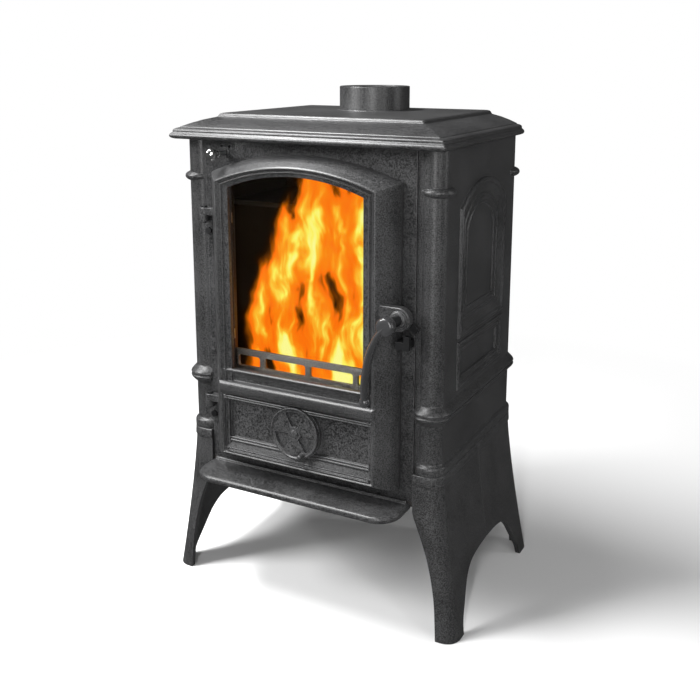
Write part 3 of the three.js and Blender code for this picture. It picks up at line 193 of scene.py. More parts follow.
class Finish:
    """A material with one Principled shader, and the nodes that feed it."""

    def __init__(self, name, **constants):
        self.material = bpy.data.materials.new(name)
        self.material.use_nodes = True
        self.tree = self.material.node_tree
        self.shader = self.tree.nodes["Principled BSDF"]
        self.set(**constants)
        self.place = self.node("TexCoord", output="Object")

    def set(self, **inputs):
        for name, value in inputs.items():
            self.feed(self.shader.inputs[name.replace("_", " ")], value)

    def feed(self, socket, value):
        if isinstance(value, Value):
            self.tree.links.new(value.socket, socket)
        else:
            socket.default_value = value

    def node(self, kind, inputs=(), output=0, stops=None, **settings):
        """One node: its settings, then the values or links of its sockets, by name or in order."""
        made = self.tree.nodes.new("ShaderNode" + kind)
        for name, value in settings.items():
            setattr(made, name, value)
        if stops:
            ramp = made.color_ramp.elements
            while len(ramp) < len(stops):
                ramp.new(1)
            for element, (position, colour) in zip(ramp, stops):
                element.position = position
                element.color = (*colour, 1)
        pairs = inputs.items() if isinstance(inputs, dict) else enumerate(inputs)
        for key, value in pairs:
            self.feed(made.inputs[key], value)
        return Value(self, made.outputs[output])

    def noise(self, size_mm, detail=2.0, roughness=0.5):
        scale = 1 / (size_mm * MM)
        inputs = {"Vector": self.place, "Scale": scale, "Detail": detail, "Roughness": roughness}
        return self.node("TexNoise", inputs)

    def blend(self, factor, low, high):
        """A colour between two colours or colour sockets."""
        made = self.tree.nodes.new("ShaderNodeMix")
        made.data_type = "RGBA"
        for socket, value in ((made.inputs[0], factor), (made.inputs[6], low), (made.inputs[7], high)):
            self.feed(socket, (*value, 1) if isinstance(value, tuple) else value)
        return Value(self, made.outputs[2])

    def softened(self, radius_mm):
        """The normal with the edges rounded over that radius."""
        return self.node("Bevel", {"Radius": radius_mm * MM}, samples=6)

    def edges(self, radius_mm, gain):
        """1 along the edges and 0 on the flats, from how far the rounded normal leans."""
        flat = self.node("NewGeometry", output="Normal")
        normals = [flat, self.softened(radius_mm)]
        lean = self.node("VectorMath", normals, output="Value", operation="DOT_PRODUCT")
        return ((1 - lean) * gain).clamped()


IRON_SPECULAR = 0.5


def stove_paint(name, low, high, grain_mm=2.0, relief_mm=0.3, rubbed_and_highlight=(0.12, 0.12, 0.123), gloss=0.39):
    """Heat-proof black paint on sand-cast iron: grainy and cloudy, with its edges lighter from wear and from
    a painted highlight.
    """
    paint = Finish(name, Metallic=0.0)
    clouds = paint.noise(70, detail=4)
    grain = paint.noise(grain_mm, detail=2, roughness=0.6)
    pits = paint.noise(grain_mm * 4, detail=2)
    # A mask along every edge, for wear and for a painted highlight there.
    worn_and_highlit_edges = paint.edges(1.6, 3.0)
    tone = (clouds - 0.5) * 0.8 + (grain - 0.5) * 3.4 + 0.5
    colour = paint.blend(tone.clamped(), low, high)
    # The edges are painted lighter: partly wear, partly a painted highlight along the mouldings and beads.
    colour = paint.blend((worn_and_highlit_edges * (0.3 + clouds * 0.6)).clamped(), colour, rubbed_and_highlight)
    height = grain * 0.7 + pits * 0.5
    bump = paint.node(
        "Bump",
        {"Strength": 0.6, "Distance": relief_mm * MM, "Height": height, "Normal": paint.softened(0.8)},
    )
    paint.set(
        Base_Color=colour,
        Roughness=(gloss + (clouds - 0.5) * 0.14 + (grain - 0.5) * 0.2 - worn_and_highlit_edges * 0.08).clamped(),
        Normal=bump,
        Specular_IOR_Level=IRON_SPECULAR,
    )
    return paint.material


iron = stove_paint("stove_paint", (0.003, 0.003, 0.0031), (0.052, 0.052, 0.053))

LEG_SPLAY_X = 36
LEG_SPLAY_Y = {"front": 10, "rear": 17}
LEG_CURVE = 1.3
LEG_INNER = 15
LEG_ARC_STEPS = 16
LEG_TOP_Z = SEAM_Z - 0.3
LEG_OUTER = [  # height, and distance from the axis
    (249, 24), (249.8, 24.8), (250.4, 25.8), (251.4, 26), (263.2, 26), (264.2, 25.6), (LEG_TOP_Z, 24.9),
]
FLANGE_EDGE = [(0, 234), (57, 230), (90, 225), (131, 215), (177, 198), (205, 188), (LEG_TOP_Z, 188)]
WING_EDGE = [(0, 5), (14, 8), (49, 29), (70, 43), (80, 53), (90, 70), (95, 92), (97, 112), (98.5, 144.35)]
WING_ROWS = 5  # rows of points between two places of the wing's edge
LEG_TOP_ROWS = 14


def eased_between(table, position):
    """A table's value at a position, on a smooth curve through its rows."""
    if position <= table[0][0]:
        return table[0][1]
    if position >= table[-1][0]:
        return table[-1][1]
    row = next(i for i, (p, _) in enumerate(table) if p >= position)
    (p0, v0), (p1, v1) = table[row - 1], table[row]

    def slope(i):
        if i == 0 or i == len(table) - 1:
            return (table[1][1] - table[0][1]) / (table[1][0] - table[0][0]) if i == 0 else 0
        before = (table[i][1] - table[i - 1][1]) / (table[i][0] - table[i - 1][0])
        after = (table[i + 1][1] - table[i][1]) / (table[i + 1][0] - table[i][0])
        return 0 if before * after <= 0 else 2 * before * after / (before + after)

    step = p1 - p0
    t = (position - p0) / step
    start, end = slope(row - 1) * step, slope(row) * step
    return (
        v0 * (2 * t**3 - 3 * t**2 + 1) + start * (t**3 - 2 * t**2 + t)
        + v1 * (3 * t**2 - 2 * t**3) + end * (t**3 - t**2)
    )


def arc(cx, cy, radius, start, end, steps):
    """Points on an arc, from one angle to the other, in degrees."""
    turn = [math.radians(start + (end - start) * i / steps) for i in range(steps + 1)]
    return [(cx + radius * math.cos(a), cy + radius * math.sin(a)) for a in turn]


def leg_shell(splay_y):
    wing_levels = [z for z, _ in WING_EDGE]
    levels = [
        low + (high - low) * i / WING_ROWS
        for low, high in zip(wing_levels, wing_levels[1:])
        for i in range(WING_ROWS)
    ]
    low, high = WING_EDGE[-1][0], LEG_OUTER[0][0]
    levels += [low + (high - low) * i / LEG_TOP_ROWS for i in range(LEG_TOP_ROWS)]
    levels += [z for z, _ in LEG_OUTER]
    rings = []
    for z in levels:
        splay = max(0, 1 - z / SEAM_Z) ** LEG_CURVE
        cx, cy = COLUMN_X + LEG_SPLAY_X * splay, -splay_y * splay
        flange, wing, outer = (eased_between(table, z) for table in (FLANGE_EDGE, WING_EDGE, LEG_OUTER))
        outline = [
            (flange, cy - outer), *arc(cx, cy, outer, -90, 0, LEG_ARC_STEPS), (cx + outer, wing),
            (cx + LEG_INNER, wing), *arc(cx, cy, LEG_INNER, 0, -90, LEG_ARC_STEPS), (flange, cy - LEG_INNER),
        ]
        rings.append([(x, y, z) for x, y in outline])
    return skin(rings)


def prism(outline, z0, z1):
    return skin([[(x, y, z0) for x, y in outline], [(x, y, z1) for x, y in outline]])


def block(x0, x1, y0, y1, z0, z1):
    return prism([(x0, y0), (x1, y0), (x1, y1), (x0, y1)], z0, z1)


LUG = {"x0": 194, "x1": 230, "y0": 6, "y1": 38, "z0": 199.7, "z1": 208.7}

for end, splay in LEG_SPLAY_Y.items():
    shells = [leg_shell(splay), block(*LUG.values())]
    if end == "rear":
        shells = [mirror_y(s) for s in shells]
    for side in ("right", "left"):
        name = f"leg_{end}_{side}"
        own_shells = shells if side == "right" else [mirror_x(s) for s in shells]
        fit(mesh_object(name + "_casting", own_shells), "stove", "stove_black", iron, name)

# ------------------------ ash lip
# A shelf in front of the door that catches ash and embers: one flat casting with round front
# corners and a small upstand along its back, bolted under the base plate by its tongue.

LIP_HALF = 184
LIP_FRONT, LIP_BACK = -92, -22
LIP_CORNER = 38
LIP_ARC_STEPS = 14
LIP_TOP = 215
UPSTAND_HALF, TONGUE_HALF = 178, 150
BASE_UNDERSIDE_Z = 208.7
LIP_EDGE = [  # distance in from the outline, and height from the top
    (9, -12.5), (3.4, -11.4), (0.8, -8.8), (0, -6), (0, -4), (1.2, -1.4), (4, 0),
]


def rounded(points, radius, steps=3, closed=False):
    """A polyline with each corner turned into a short curve that starts that far from it."""
    result = []
    count = len(points)
    for i, point in enumerate(points):
        if not closed and i in (0, count - 1):
            result.append(tuple(point))
            continue
        here = Vector(point)
        before, after = Vector(points[i - 1]) - here, Vector(points[(i + 1) % count]) - here
        reach = min(radius, before.length * 0.45, after.length * 0.45)
        start, end = here + before.normalized() * reach, here + after.normalized() * reach
        for s in range(steps + 1):
            t = s / steps
            result.append(tuple(start * (1 - t) ** 2 + here * 2 * t * (1 - t) + end * t**2))
    return result


def lip_outline(inset):
    half, front, corner = LIP_HALF - inset, LIP_FRONT + inset, LIP_CORNER - inset
    right = arc(half - corner, front + corner, corner, -90, 0, LIP_ARC_STEPS)
    left = arc(-half + corner, front + corner, corner, -180, -90, LIP_ARC_STEPS)
    return [*left, *right, (half, LIP_BACK), (-half, LIP_BACK)]


def slab_across(outline, x0, x1):
    """A shell with one outline, given along y and z, at both its ends."""
    return skin([[(x, y, z) for y, z in outline] for x in (x0, x1)])


lip_rings = [[(x, y, LIP_TOP + dz) for x, y in lip_outline(inset)] for inset, dz in rounded(LIP_EDGE, 2)]
upstand = [(-22, 214), (-22, 218.2), (-23, 219), (-26, 219), (-27, 218.2), (-28.5, 214.6), (-28.5, 214)]
lip_shells = [
    skin(lip_rings),
    slab_across(rounded(upstand, 0.8, closed=True), -UPSTAND_HALF, UPSTAND_HALF),
    block(-TONGUE_HALF, TONGUE_HALF, -30, 14, 201, BASE_UNDERSIDE_Z),
]
fit(mesh_object("ash_lip_casting", lip_shells), "stove", "stove_black", iron, "ash_lip")

# ------------------------ side panels
# Each side is one casting: a wall with an arched panel over a rectangular one, and a round
# column at each end. Its base moulding, collar and ring are turned profiles that run round
# the columns, the first two along the wall as well.

FACE_X = COLUMN_X + COLUMN_RADIUS
PANEL_DEPTH, PANEL_INSET = 4, 8
SIDE_PANEL_HALF = 99.5
SIDE_ARCH_BOTTOM, SIDE_ARCH_CROWN, SIDE_ARCH_RISE = 467, 706, 38
SIDE_RECTANGLE_BOTTOM, SIDE_RECTANGLE_TOP = 384, 461
PLATE_EDGE_X = 187
COLUMN_TOP_Z = BODY_TOP_Z - 0.3
COLUMN_STEPS = 36
MOULDINGS = [  # distance from the column's axis, and height
    (25, SEAM_Z), (26, 266.2), (26, 275.6), (25.2, 278), (24, 279.2), (21.8, 281), (21, 283),
    (21, 344.5), (22.4, 346.2), (25, 348.8), (28.2, 352.2), (30.2, 354.8), (31, 357.2), (30, 358.7),
    (28.6, 359.3), (28.6, 360.7), (30, 361.3), (31, 362.8), (30.2, 365.2), (28.2, 367.8), (25, 371.2),
    (22.4, 373.8), (21, 375.5), (21, COLUMN_TOP_Z),
]
INNER_WALL = [(187.1, -11.6), (178.5, -11.6), (178.5, -4), (205, -4), (219, 12)]
RING_OUTSET = 4.5
RING = [
    (0, 691), (19.5, 691), (22, 692.4), (24, 694), (25.2, 696), (25.6, 698), (25.2, 700), (24, 702),
    (22, 703.6), (19.5, 705), (0, 705),
]
LAND_WIDTH, LAND_FRONT = 7.7, -17


def column_plan(radius):
    """The casting's outline from above, at one height: column, wall and column again."""
    start = -90 - math.degrees(math.asin((COLUMN_X - PLATE_EDGE_X) / radius))
    front = arc(COLUMN_X, 0, radius, start, 0, COLUMN_STEPS)
    rear = [(x, COLUMN_DEPTH - y) for x, y in reversed(front)]
    inner = [(x, COLUMN_DEPTH - y) for x, y in INNER_WALL]
    return [*front, *rear, *inner, *reversed(INNER_WALL)]


def side_arch(inset, steps=26):
    """The arched panel's outline on the wall: places along y and z."""
    half, rise = SIDE_PANEL_HALF - inset, SIDE_ARCH_RISE
    radius = (half**2 + rise**2) / (2 * rise)
    sweep = math.degrees(math.asin(half / radius))
    middle, low = COLUMN_DEPTH / 2, SIDE_ARCH_BOTTOM + inset
    crown = arc(middle, SIDE_ARCH_CROWN - inset - radius, radius, 90 - sweep, 90 + sweep, steps)
    return [(middle - half, low), (middle + half, low), *crown]


def side_rectangle(inset):
    low, high = SIDE_RECTANGLE_BOTTOM + inset, SIDE_RECTANGLE_TOP - inset
    near, far = COLUMN_DEPTH / 2 - SIDE_PANEL_HALF + inset, COLUMN_DEPTH / 2 + SIDE_PANEL_HALF - inset
    return [(near, low), (far, low), (far, high), (near, high)]


def turned(profile, x, y, z, axis="z", steps=48):
    """A profile of (radius, distance along the axis) turned round it; its ends are closed."""
    rings = []
    for radius, distance in profile:
        ring = []
        for px, py in arc(0, 0, max(radius, 0.01), 0, 360 - 360 / steps, steps - 1):
            ring.append((x + px, y + py, z + distance) if axis == "z" else (x + px, y + distance, z + py))
        rings.append(ring)
    return skin(rings)


def turned_ring(profile, x, y, z, axis="z", steps=64):
    """A closed profile, clear of the axis, turned round it."""
    points, faces = turned(profile, x, y, z, axis, steps)
    faces = faces[:-2]
    last = (len(profile) - 1) * steps
    faces += [(last + j, last + (j + 1) % steps, (j + 1) % steps, j) for j in range(steps)]
    return points, faces


def carve(obj, *cutters):
    """Cuts closed objects out of a closed object, and removes them."""
    for cutter in cutters:
        modifier = obj.modifiers.new("cut", "BOOLEAN")
        modifier.operation = "DIFFERENCE"
        modifier.solver = "EXACT"
        modifier.object = cutter
    flat_copy(obj)
    for cutter in cutters:
        bpy.data.objects.remove(cutter)
    return obj


def combine(name, *objects):
    """Several objects as one, under a new name."""
    whole = bmesh.new()
    for obj in objects:
        whole.from_mesh(obj.data)
        bpy.data.objects.remove(obj)
    mesh = bpy.data.meshes.new(name)
    whole.to_mesh(mesh)
    whole.free()
    mesh.shade_smooth()
    mesh.set_sharp_from_angle(angle=math.radians(33))
    obj = bpy.data.objects.new(name, mesh)
    bpy.context.collection.objects.link(obj)
    return obj


ARCH_MOULDING = [  # distance in from the panel's outline, and height above the wall
    (0, -6), (0, 1.2), (1.5, 4), (4.5, 5.6), (7.5, 4.6), (10, 2.6), (14, 1.2), (22, -2), (24.5, -2.2),
    (26.5, -0.6), (28.5, -0.4), (31, -2.6), (38, -3.2), (39.5, -1.6), (41.5, -1.6), (43, -6),
]
RECTANGLE_MOULDING = [
    (0, -6), (0, 1), (1.5, 3), (4.5, 3.8), (7, 2.4), (9, 0.4), (13, -1), (15, -1.4), (16.5, 0), (18.5, 0),
    (20.5, -6),
]


def side_panel():
    """The right side: its wall with the recesses cut, their frames, the rings and the front land."""
    rows = [[(x, y, z) for x, y in column_plan(radius)] for radius, z in rounded(MOULDINGS, 1.5)]
    wall = mesh_object("wall", [skin(rows)])
    recesses = [
        mesh_object("recess", [slab_across(outline(PANEL_INSET), FACE_X - PANEL_DEPTH, FACE_X + 9)])
        for outline in (side_arch, side_rectangle)
    ]
    carve(wall, *recesses)
    frame_shells = []
    for outline, profile in ((side_arch, ARCH_MOULDING), (side_rectangle, RECTANGLE_MOULDING)):
        section = rounded(profile, 1.2, closed=True)
        frame_rings = [[(FACE_X + h, y, z) for y, z in outline(inset)] for inset, h in section]
        frame_shells.append(skin(frame_rings, closed=True))
    frames = mesh_object("frames", frame_shells)
    ring_x = COLUMN_X + RING_OUTSET
    rings = mesh_object("rings", [turned(RING, ring_x, y, 0, steps=72) for y in (0, COLUMN_DEPTH)])
    insides = [
        mesh_object("inside", [block(150, 219, COLUMN_RADIUS, COLUMN_DEPTH - COLUMN_RADIUS, 680, 720)]),
        mesh_object("inside", [block(150, 187, -30, COLUMN_DEPTH + 30, 680, 720)]),
    ]
    carve(rings, *insides)
    extras = mesh_object("extras", [
        block(207, 221, 21, 268, 349.7, 357.7),
        block(PLATE_EDGE_X, PLATE_EDGE_X + LAND_WIDTH, LAND_FRONT, -3, SEAM_Z, COLUMN_TOP_Z),
    ])
    return combine("right_side_casting", wall, frames, rings, extras)


right_side = side_panel()
left_side = right_side.copy()
left_side.data = right_side.data.copy()
left_side.name = "left_side_casting"
bpy.context.collection.objects.link(left_side)
mirrored = bmesh.new()
mirrored.from_mesh(left_side.data)
for corner in mirrored.verts:
    corner.co.x = -corner.co.x
bmesh.ops.reverse_faces(mirrored, faces=mirrored.faces)
mirrored.to_mesh(left_side.data)
mirrored.free()
fit(right_side, "stove", "stove_black", iron, "right_side_panel")
fit(left_side, "stove", "stove_black", iron, "left_side_panel")

# ------------------------ plates left as cast
# The front plate, the back panel, the hinge brackets and the spinner's stud are plain pieces.
# They keep their solids and take the same paint; what the fire reaches is duller and sootier.


def refinish(material, *nodes):
    for name in nodes:
        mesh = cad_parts[name].data
        mesh.materials.clear()
        mesh.materials.append(material)


refinish(iron, "front_plate", "back_panel", "upper_hinge_bracket", "lower_hinge_bracket", "spinner_stud")
sooty_iron = stove_paint(
    "sooty_iron", (0.016, 0.015, 0.014), (0.035, 0.032, 0.030),
    relief_mm=0.25, rubbed_and_highlight=(0.05, 0.046, 0.042), gloss=0.72,
)
refinish(sooty_iron, "base_plate", "fire_grate", "baffle_plate", "right_pan_runner", "left_pan_runner")

# ------------------------ top plate
# A heavy moulded casting that overhangs the body. From its rolled edge the top rises in a
# shallow slope to a small step and a flat middle, which the flue collar comes up through.

PLATE_X = 240
PLATE_FRONT, PLATE_REAR = -46, 304
PLATE_CORNER = 3
PLATE_EDGE = [  # distance in from the edge, and height above the body
    (6, 0), (2, 1.6), (0.3, 3.4), (0, 5.6), (1, 8), (3.6, 10.2), (4.6, 11.2), (4.2, 13), (5.2, 15.2),
    (8.6, 17), (12.6, 17.8), (13.6, 19.2), (26, 24.6), (40, 29.6), (54, 33.2), (56.6, 33.9), (57.6, 36.6),
    (60, 39), (64, 39.9), (68, 40),
]
PLATE_CAVITY = [(38, -1), (40, 14), (58, 24), (70, 26)]
REAR_RIM = 15.5
FLUE_Y = 215
FLUE_RADIUS = 60


def plate_plan(inset, z, rear_inset=None):
    x, y0 = PLATE_X - inset, PLATE_FRONT + inset
    y1 = PLATE_REAR - (inset * 0.12 if rear_inset is None else rear_inset)
    r = PLATE_CORNER
    corners = [(x - r, y1 - r, 0), (-x + r, y1 - r, 90), (-x + r, y0 + r, 180), (x - r, y0 + r, 270)]
    return [(px, py, BODY_TOP_Z + z) for cx, cy, a in corners for px, py in arc(cx, cy, r, a, a + 90, 5)]


plate = mesh_object("top_plate_casting", [skin([plate_plan(*row) for row in rounded(PLATE_EDGE, 1.2)])])
hollow = mesh_object("hollow", [skin([plate_plan(inset, z, REAR_RIM) for inset, z in PLATE_CAVITY])])
hole_profile = [(FLUE_RADIUS + 0.4, 770), (FLUE_RADIUS + 0.4, 810)]
flue_hole = mesh_object("flue_hole", [turned(hole_profile, 0, FLUE_Y, 0, steps=96)])
carve(plate, hollow, flue_hole)
FLUE_BEAD = [(60.5, -3), (63, -3), (63, 0), (62.4, 0.8), (61.4, 1.2), (60.5, 1.2)]
bead = mesh_object("bead", [turned_ring(rounded(FLUE_BEAD, 0.6, closed=True), 0, FLUE_Y, TOP_Z, steps=96)])
ROD_X, ROD_YS = 168, (-3, 282)
rod_places = [(side * ROD_X, y) for y in ROD_YS for side in (-1, 1)]
BOSS = [(4.4, 760.2), (8, 760.2), (8, 785), (4.4, 785)]
bosses = mesh_object("bosses", [turned_ring(BOSS, x, y, 0, steps=24) for x, y in rod_places])
fit(combine("top_plate_with_bead", plate, bead, bosses), "stove", "stove_black", iron, "top_plate")

# ------------------------ flue collar
# A round spigot for the stove pipe, cast with a flange that is bolted up under the top plate.

COLLAR_PROFILE = [(53, 777.7), (72, 777.7), (72, 785.7), (FLUE_RADIUS, 785.7), (FLUE_RADIUS, 840), (53, 840)]
collar = mesh_object(
    "flue_collar_casting", [turned_ring(rounded(COLLAR_PROFILE, 1.6, closed=True), 0, FLUE_Y, 0, steps=96)]
)
fit(collar, "stove", "stove_black", iron, "flue_collar")

# ------------------------ door
# One heavy arched frame, hung on two pins at the left. Its bold moulding steps down to the
# window; below the sill it has a ledge bar, two beads and a sunk field round the air spinner.

DOOR_HALF, DOOR_BOTTOM, DOOR_CROWN, DOOR_RISE = 166, 236, 743, 32
DOOR_BACK = -20.6
GLASS_SEAT_FRONT, GLASS_SEAT_BACK = -58, -50
SILL_Z, SEAT_BOTTOM_Z, FOOT_Z = 395, 385.7, 252


def door_outline(inset, bottom=None, steps=44):
    """The door's arched outline set in from its edge: places along x and z."""
    half, rise = DOOR_HALF - inset, DOOR_RISE - 0.2 * inset
    crown = DOOR_CROWN - 0.64 * inset
    radius = (half**2 + rise**2) / (2 * rise)
    sweep = math.degrees(math.asin(half / radius))
    low = DOOR_BOTTOM + 0.5 * inset if bottom is None else bottom
    return [(-half, low), (half, low), *arc(0, crown - radius, radius, 90 - sweep, 90 + sweep, steps)]


def door_moulding(profile):
    return skin([[(x, y, z) for x, z in door_outline(inset)] for inset, y in profile], closed=True)


MOULDING = [  # distance in from the door's edge, and y
    (0, DOOR_BACK), (0, -27), (2.5, -35), (6.5, -42), (12, -49), (18, -55.5), (23, -61), (26, -63),
    (28.5, -62.8), (31, -60.5), (33, -58.8), (34.2, -58.8), (35.3, -61.4), (36.6, -61.4), (37.4, -59.6),
    (38.5, GLASS_SEAT_FRONT), (47, GLASS_SEAT_FRONT), (47, GLASS_SEAT_BACK), (36, GLASS_SEAT_BACK),
    (32, -54.5), (26, -57.5), (22, -52), (21, -40), (21, -25), (17, -25), (17, -30), (8, -30), (8, DOOR_BACK),
]
LOWER_PANEL = [  # y and z, from the sill down the front and up the back
    (-50, SILL_Z), (-58, SILL_Z), (-60, 393.5), (-60, 391), (-56.5, 388), (-54, 380), (-55, 375), (-60, 373),
    (-60, 353), (-58, 351.4), (-57.6, 350.4), (-60.4, 349.4), (-61.2, 348), (-60.4, 346.6), (-58.2, 346),
    (-59.6, 345.2), (-60.2, 344), (-59.2, 342.8), (-54, 341.8), (-50, 340), (-50, 276.5), (-53, 276),
    (-54.2, 274.6), (-53.4, 273.2), (-52.2, 272.6), (-54.4, 271.8), (-55.4, 270.2), (-54.4, 268.6),
    (-53.6, 267), (-57.6, 259), (-58, FOOT_Z), (-44, FOOT_Z), (-44, SEAT_BOTTOM_Z), (-50, SEAT_BOTTOM_Z),
]
FIELD = {"half": 134, "bottom": 258, "top": 346}
PANEL_HALF = 134.5
LEDGE_BAR = [(-44, 373), (-62, 374), (-66, 371.5), (-67, 368), (-67, 361), (-65, 356), (-61, 352), (-44, 352)]
LEDGE_PLAN = [(159, -40), (154, -49), (149, -55.5), (143, -61), (137.5, -67)]
LEDGE_HALF, LEDGE_MITRE = 160, 18
LEDGE_TOP, LEDGE_HEIGHT = 374, 22
SPINNER_Z = 308
SEAT_RADIUS, SEAT_FRONT = 43.8, -57.6
SECTOR = {"inner": 11, "outer": 36, "angle": 54, "count": 3}
SHUT_TURN = 60
LATCH_X, LATCH_Z = 176, 516
HINGE_X, HINGE_Y = -179, -38
HINGE_TOPS = (652, 337)
KNUCKLE_HEIGHT = 11
CLIP_X, CLIP_HEIGHTS = 135, (450, 640)


def sectors(y0, y1, turn=0):
    """Cutters for the fan-shaped air holes, turned from where one points up."""
    shells = []
    for i in range(SECTOR["count"]):
        middle = 90 + turn + i * 360 / SECTOR["count"]
        start, end = middle - SECTOR["angle"] / 2, middle + SECTOR["angle"] / 2
        outer = arc(0, SPINNER_Z, SECTOR["outer"], start, end, 14)
        outline = outer + arc(0, SPINNER_Z, SECTOR["inner"], end, start, 6)
        shells.append(skin([[(x, y, z) for x, z in rounded(outline, 1.5, 2, True)] for y in (y0, y1)]))
    return mesh_object("sectors", shells)


def ledge_end(z, side):
    return side * (LEDGE_HALF - LEDGE_MITRE * (LEDGE_TOP - z) / LEDGE_HEIGHT)


def merged(obj, other, operation):
    """The object joined to the other, or what the two share."""
    modifier = obj.modifiers.new("merge", "BOOLEAN")
    modifier.operation, modifier.solver, modifier.object = operation, "EXACT", other
    flat_copy(obj)
    bpy.data.objects.remove(other)
    return obj


moulding = mesh_object("moulding", [door_moulding(rounded(MOULDING, 1.2, closed=True))])
field_block = block(-FIELD["half"], FIELD["half"], -66, GLASS_SEAT_BACK, FIELD["bottom"], FIELD["top"])
carve(moulding, mesh_object("field", [field_block]))
panel_section = rounded(LOWER_PANEL, 0.6, closed=True)
lower_panel = mesh_object("lower_panel", [slab_across(panel_section, -PANEL_HALF, PANEL_HALF)])
seat_profile = [(0, SEAT_FRONT), (SEAT_RADIUS, SEAT_FRONT), (SEAT_RADIUS, -46), (0, -46)]
merged(lower_panel, mesh_object("seat", [turned(seat_profile, 0, 0, SPINNER_Z, "y", 72)]), "UNION")
clearing_profile = [(SEAT_RADIUS, -68), (SEAT_RADIUS, SEAT_FRONT)]
clearing = mesh_object("clearing", [turned(clearing_profile, 0, 0, SPINNER_Z, "y", 72)])
carve(lower_panel, clearing, sectors(-70, -30, SHUT_TURN))
webs = mesh_object("webs", [
    block(*sorted((side * 128, side * 137)), -56, -44, FOOT_Z, SEAT_BOTTOM_Z) for side in (-1, 1)
])
ledge_section = rounded(LEDGE_BAR, 1.2, closed=True)
ledge_rings = [[(ledge_end(z, side), y, z) for y, z in ledge_section] for side in (-1, 1)]
ledge_bar = mesh_object("ledge", [skin(ledge_rings)])
reach = [*LEDGE_PLAN, *((-x, y) for x, y in reversed(LEDGE_PLAN))]
merged(ledge_bar, mesh_object("reach", [prism(reach, 351, 375)]), "INTERSECT")

ear_outline = [(144, 498), *arc(LATCH_X, LATCH_Z, 18, -90, 90, 24), (144, 534)]
ear_rings = [(1.2, -58), (0, -56.8), (0, -45.2), (1.2, -44)]


def shrunk(outline, amount):
    """The ear's outline drawn in towards its hub, for its rounded edges."""
    hub = Vector((LATCH_X, LATCH_Z))
    return [tuple(hub + (Vector(p) - hub) * (1 - amount / max((Vector(p) - hub).length, 1))) for p in outline]


ear = skin([[(x, y, z) for x, z in shrunk(ear_outline, inset)] for inset, y in ear_rings])
boss_profile = [(0, -62), *rounded([(11, -62), (13, -60.8), (13, -57)], 1), (0, -57)]
ear_boss = turned(boss_profile, LATCH_X, 0, LATCH_Z, "y", 36)
hinge_lugs = []
for top in HINGE_TOPS:
    low = top - KNUCKLE_HEIGHT
    barrel = [(3.2, low), (6.9, low), (7.5, low + 0.6), (7.5, top - 0.6), (6.9, top), (3.2, top)]
    hinge_lugs.append(turned_ring(barrel, HINGE_X, HINGE_Y, 0, steps=36))
    hinge_lugs.append(block(HINGE_X + 5, -DOOR_HALF + 12, HINGE_Y - 6, HINGE_Y + 6, low, top))
clip_bosses = [
    turned([(0, -57), (4.5, -57), (4.5, -43.4), (0, -43.4)], side * CLIP_X, 0, z, "y", 24)
    for z in CLIP_HEIGHTS for side in (-1, 1)
]
fittings = mesh_object("fittings", [ear, ear_boss, *hinge_lugs, *clip_bosses])
door = combine("door_casting", moulding, lower_panel, webs, ledge_bar, fittings)
fit(door, "door", "stove_black", iron, "door_frame")

# ------------------------ window
# A pane of see-through glass ceramic on a thin gasket, held in the back of the door by four
# sprung clips with a screw each. A rope of woven glass fibre seals the door to the front plate.

PANE = {"Base_Color": (0.97, 0.96, 0.94, 1), "Roughness": 0.02, "IOR": 1.1, "Transmission_Weight": 1.0}
refinish(Finish("ceramic_glass", **PANE, Specular_IOR_Level=0.06).material, "door_glass")

woven = Finish("woven_glass_fibre", Roughness=0.95)
strands = woven.node(
    "TexWave", {"Vector": woven.place, "Scale": 160.0, "Distortion": 2.0, "Detail": 2.0},
    output="Fac", bands_direction="DIAGONAL",
)
fibres = woven.noise(0.8, 3)
weave = (strands * 0.6 + fibres * 0.4).clamped()
woven.set(
    Base_Color=woven.blend(weave, (0.10, 0.095, 0.085), (0.38, 0.36, 0.32)),
    Normal=woven.node("Bump", {"Strength": 0.7, "Distance": 0.4 * MM, "Height": strands}),
)
dark_braid = Finish("dark_glass_braid", Base_Color=(0.02, 0.019, 0.018, 1), Roughness=0.95)
refinish(dark_braid.material, "glass_gasket")


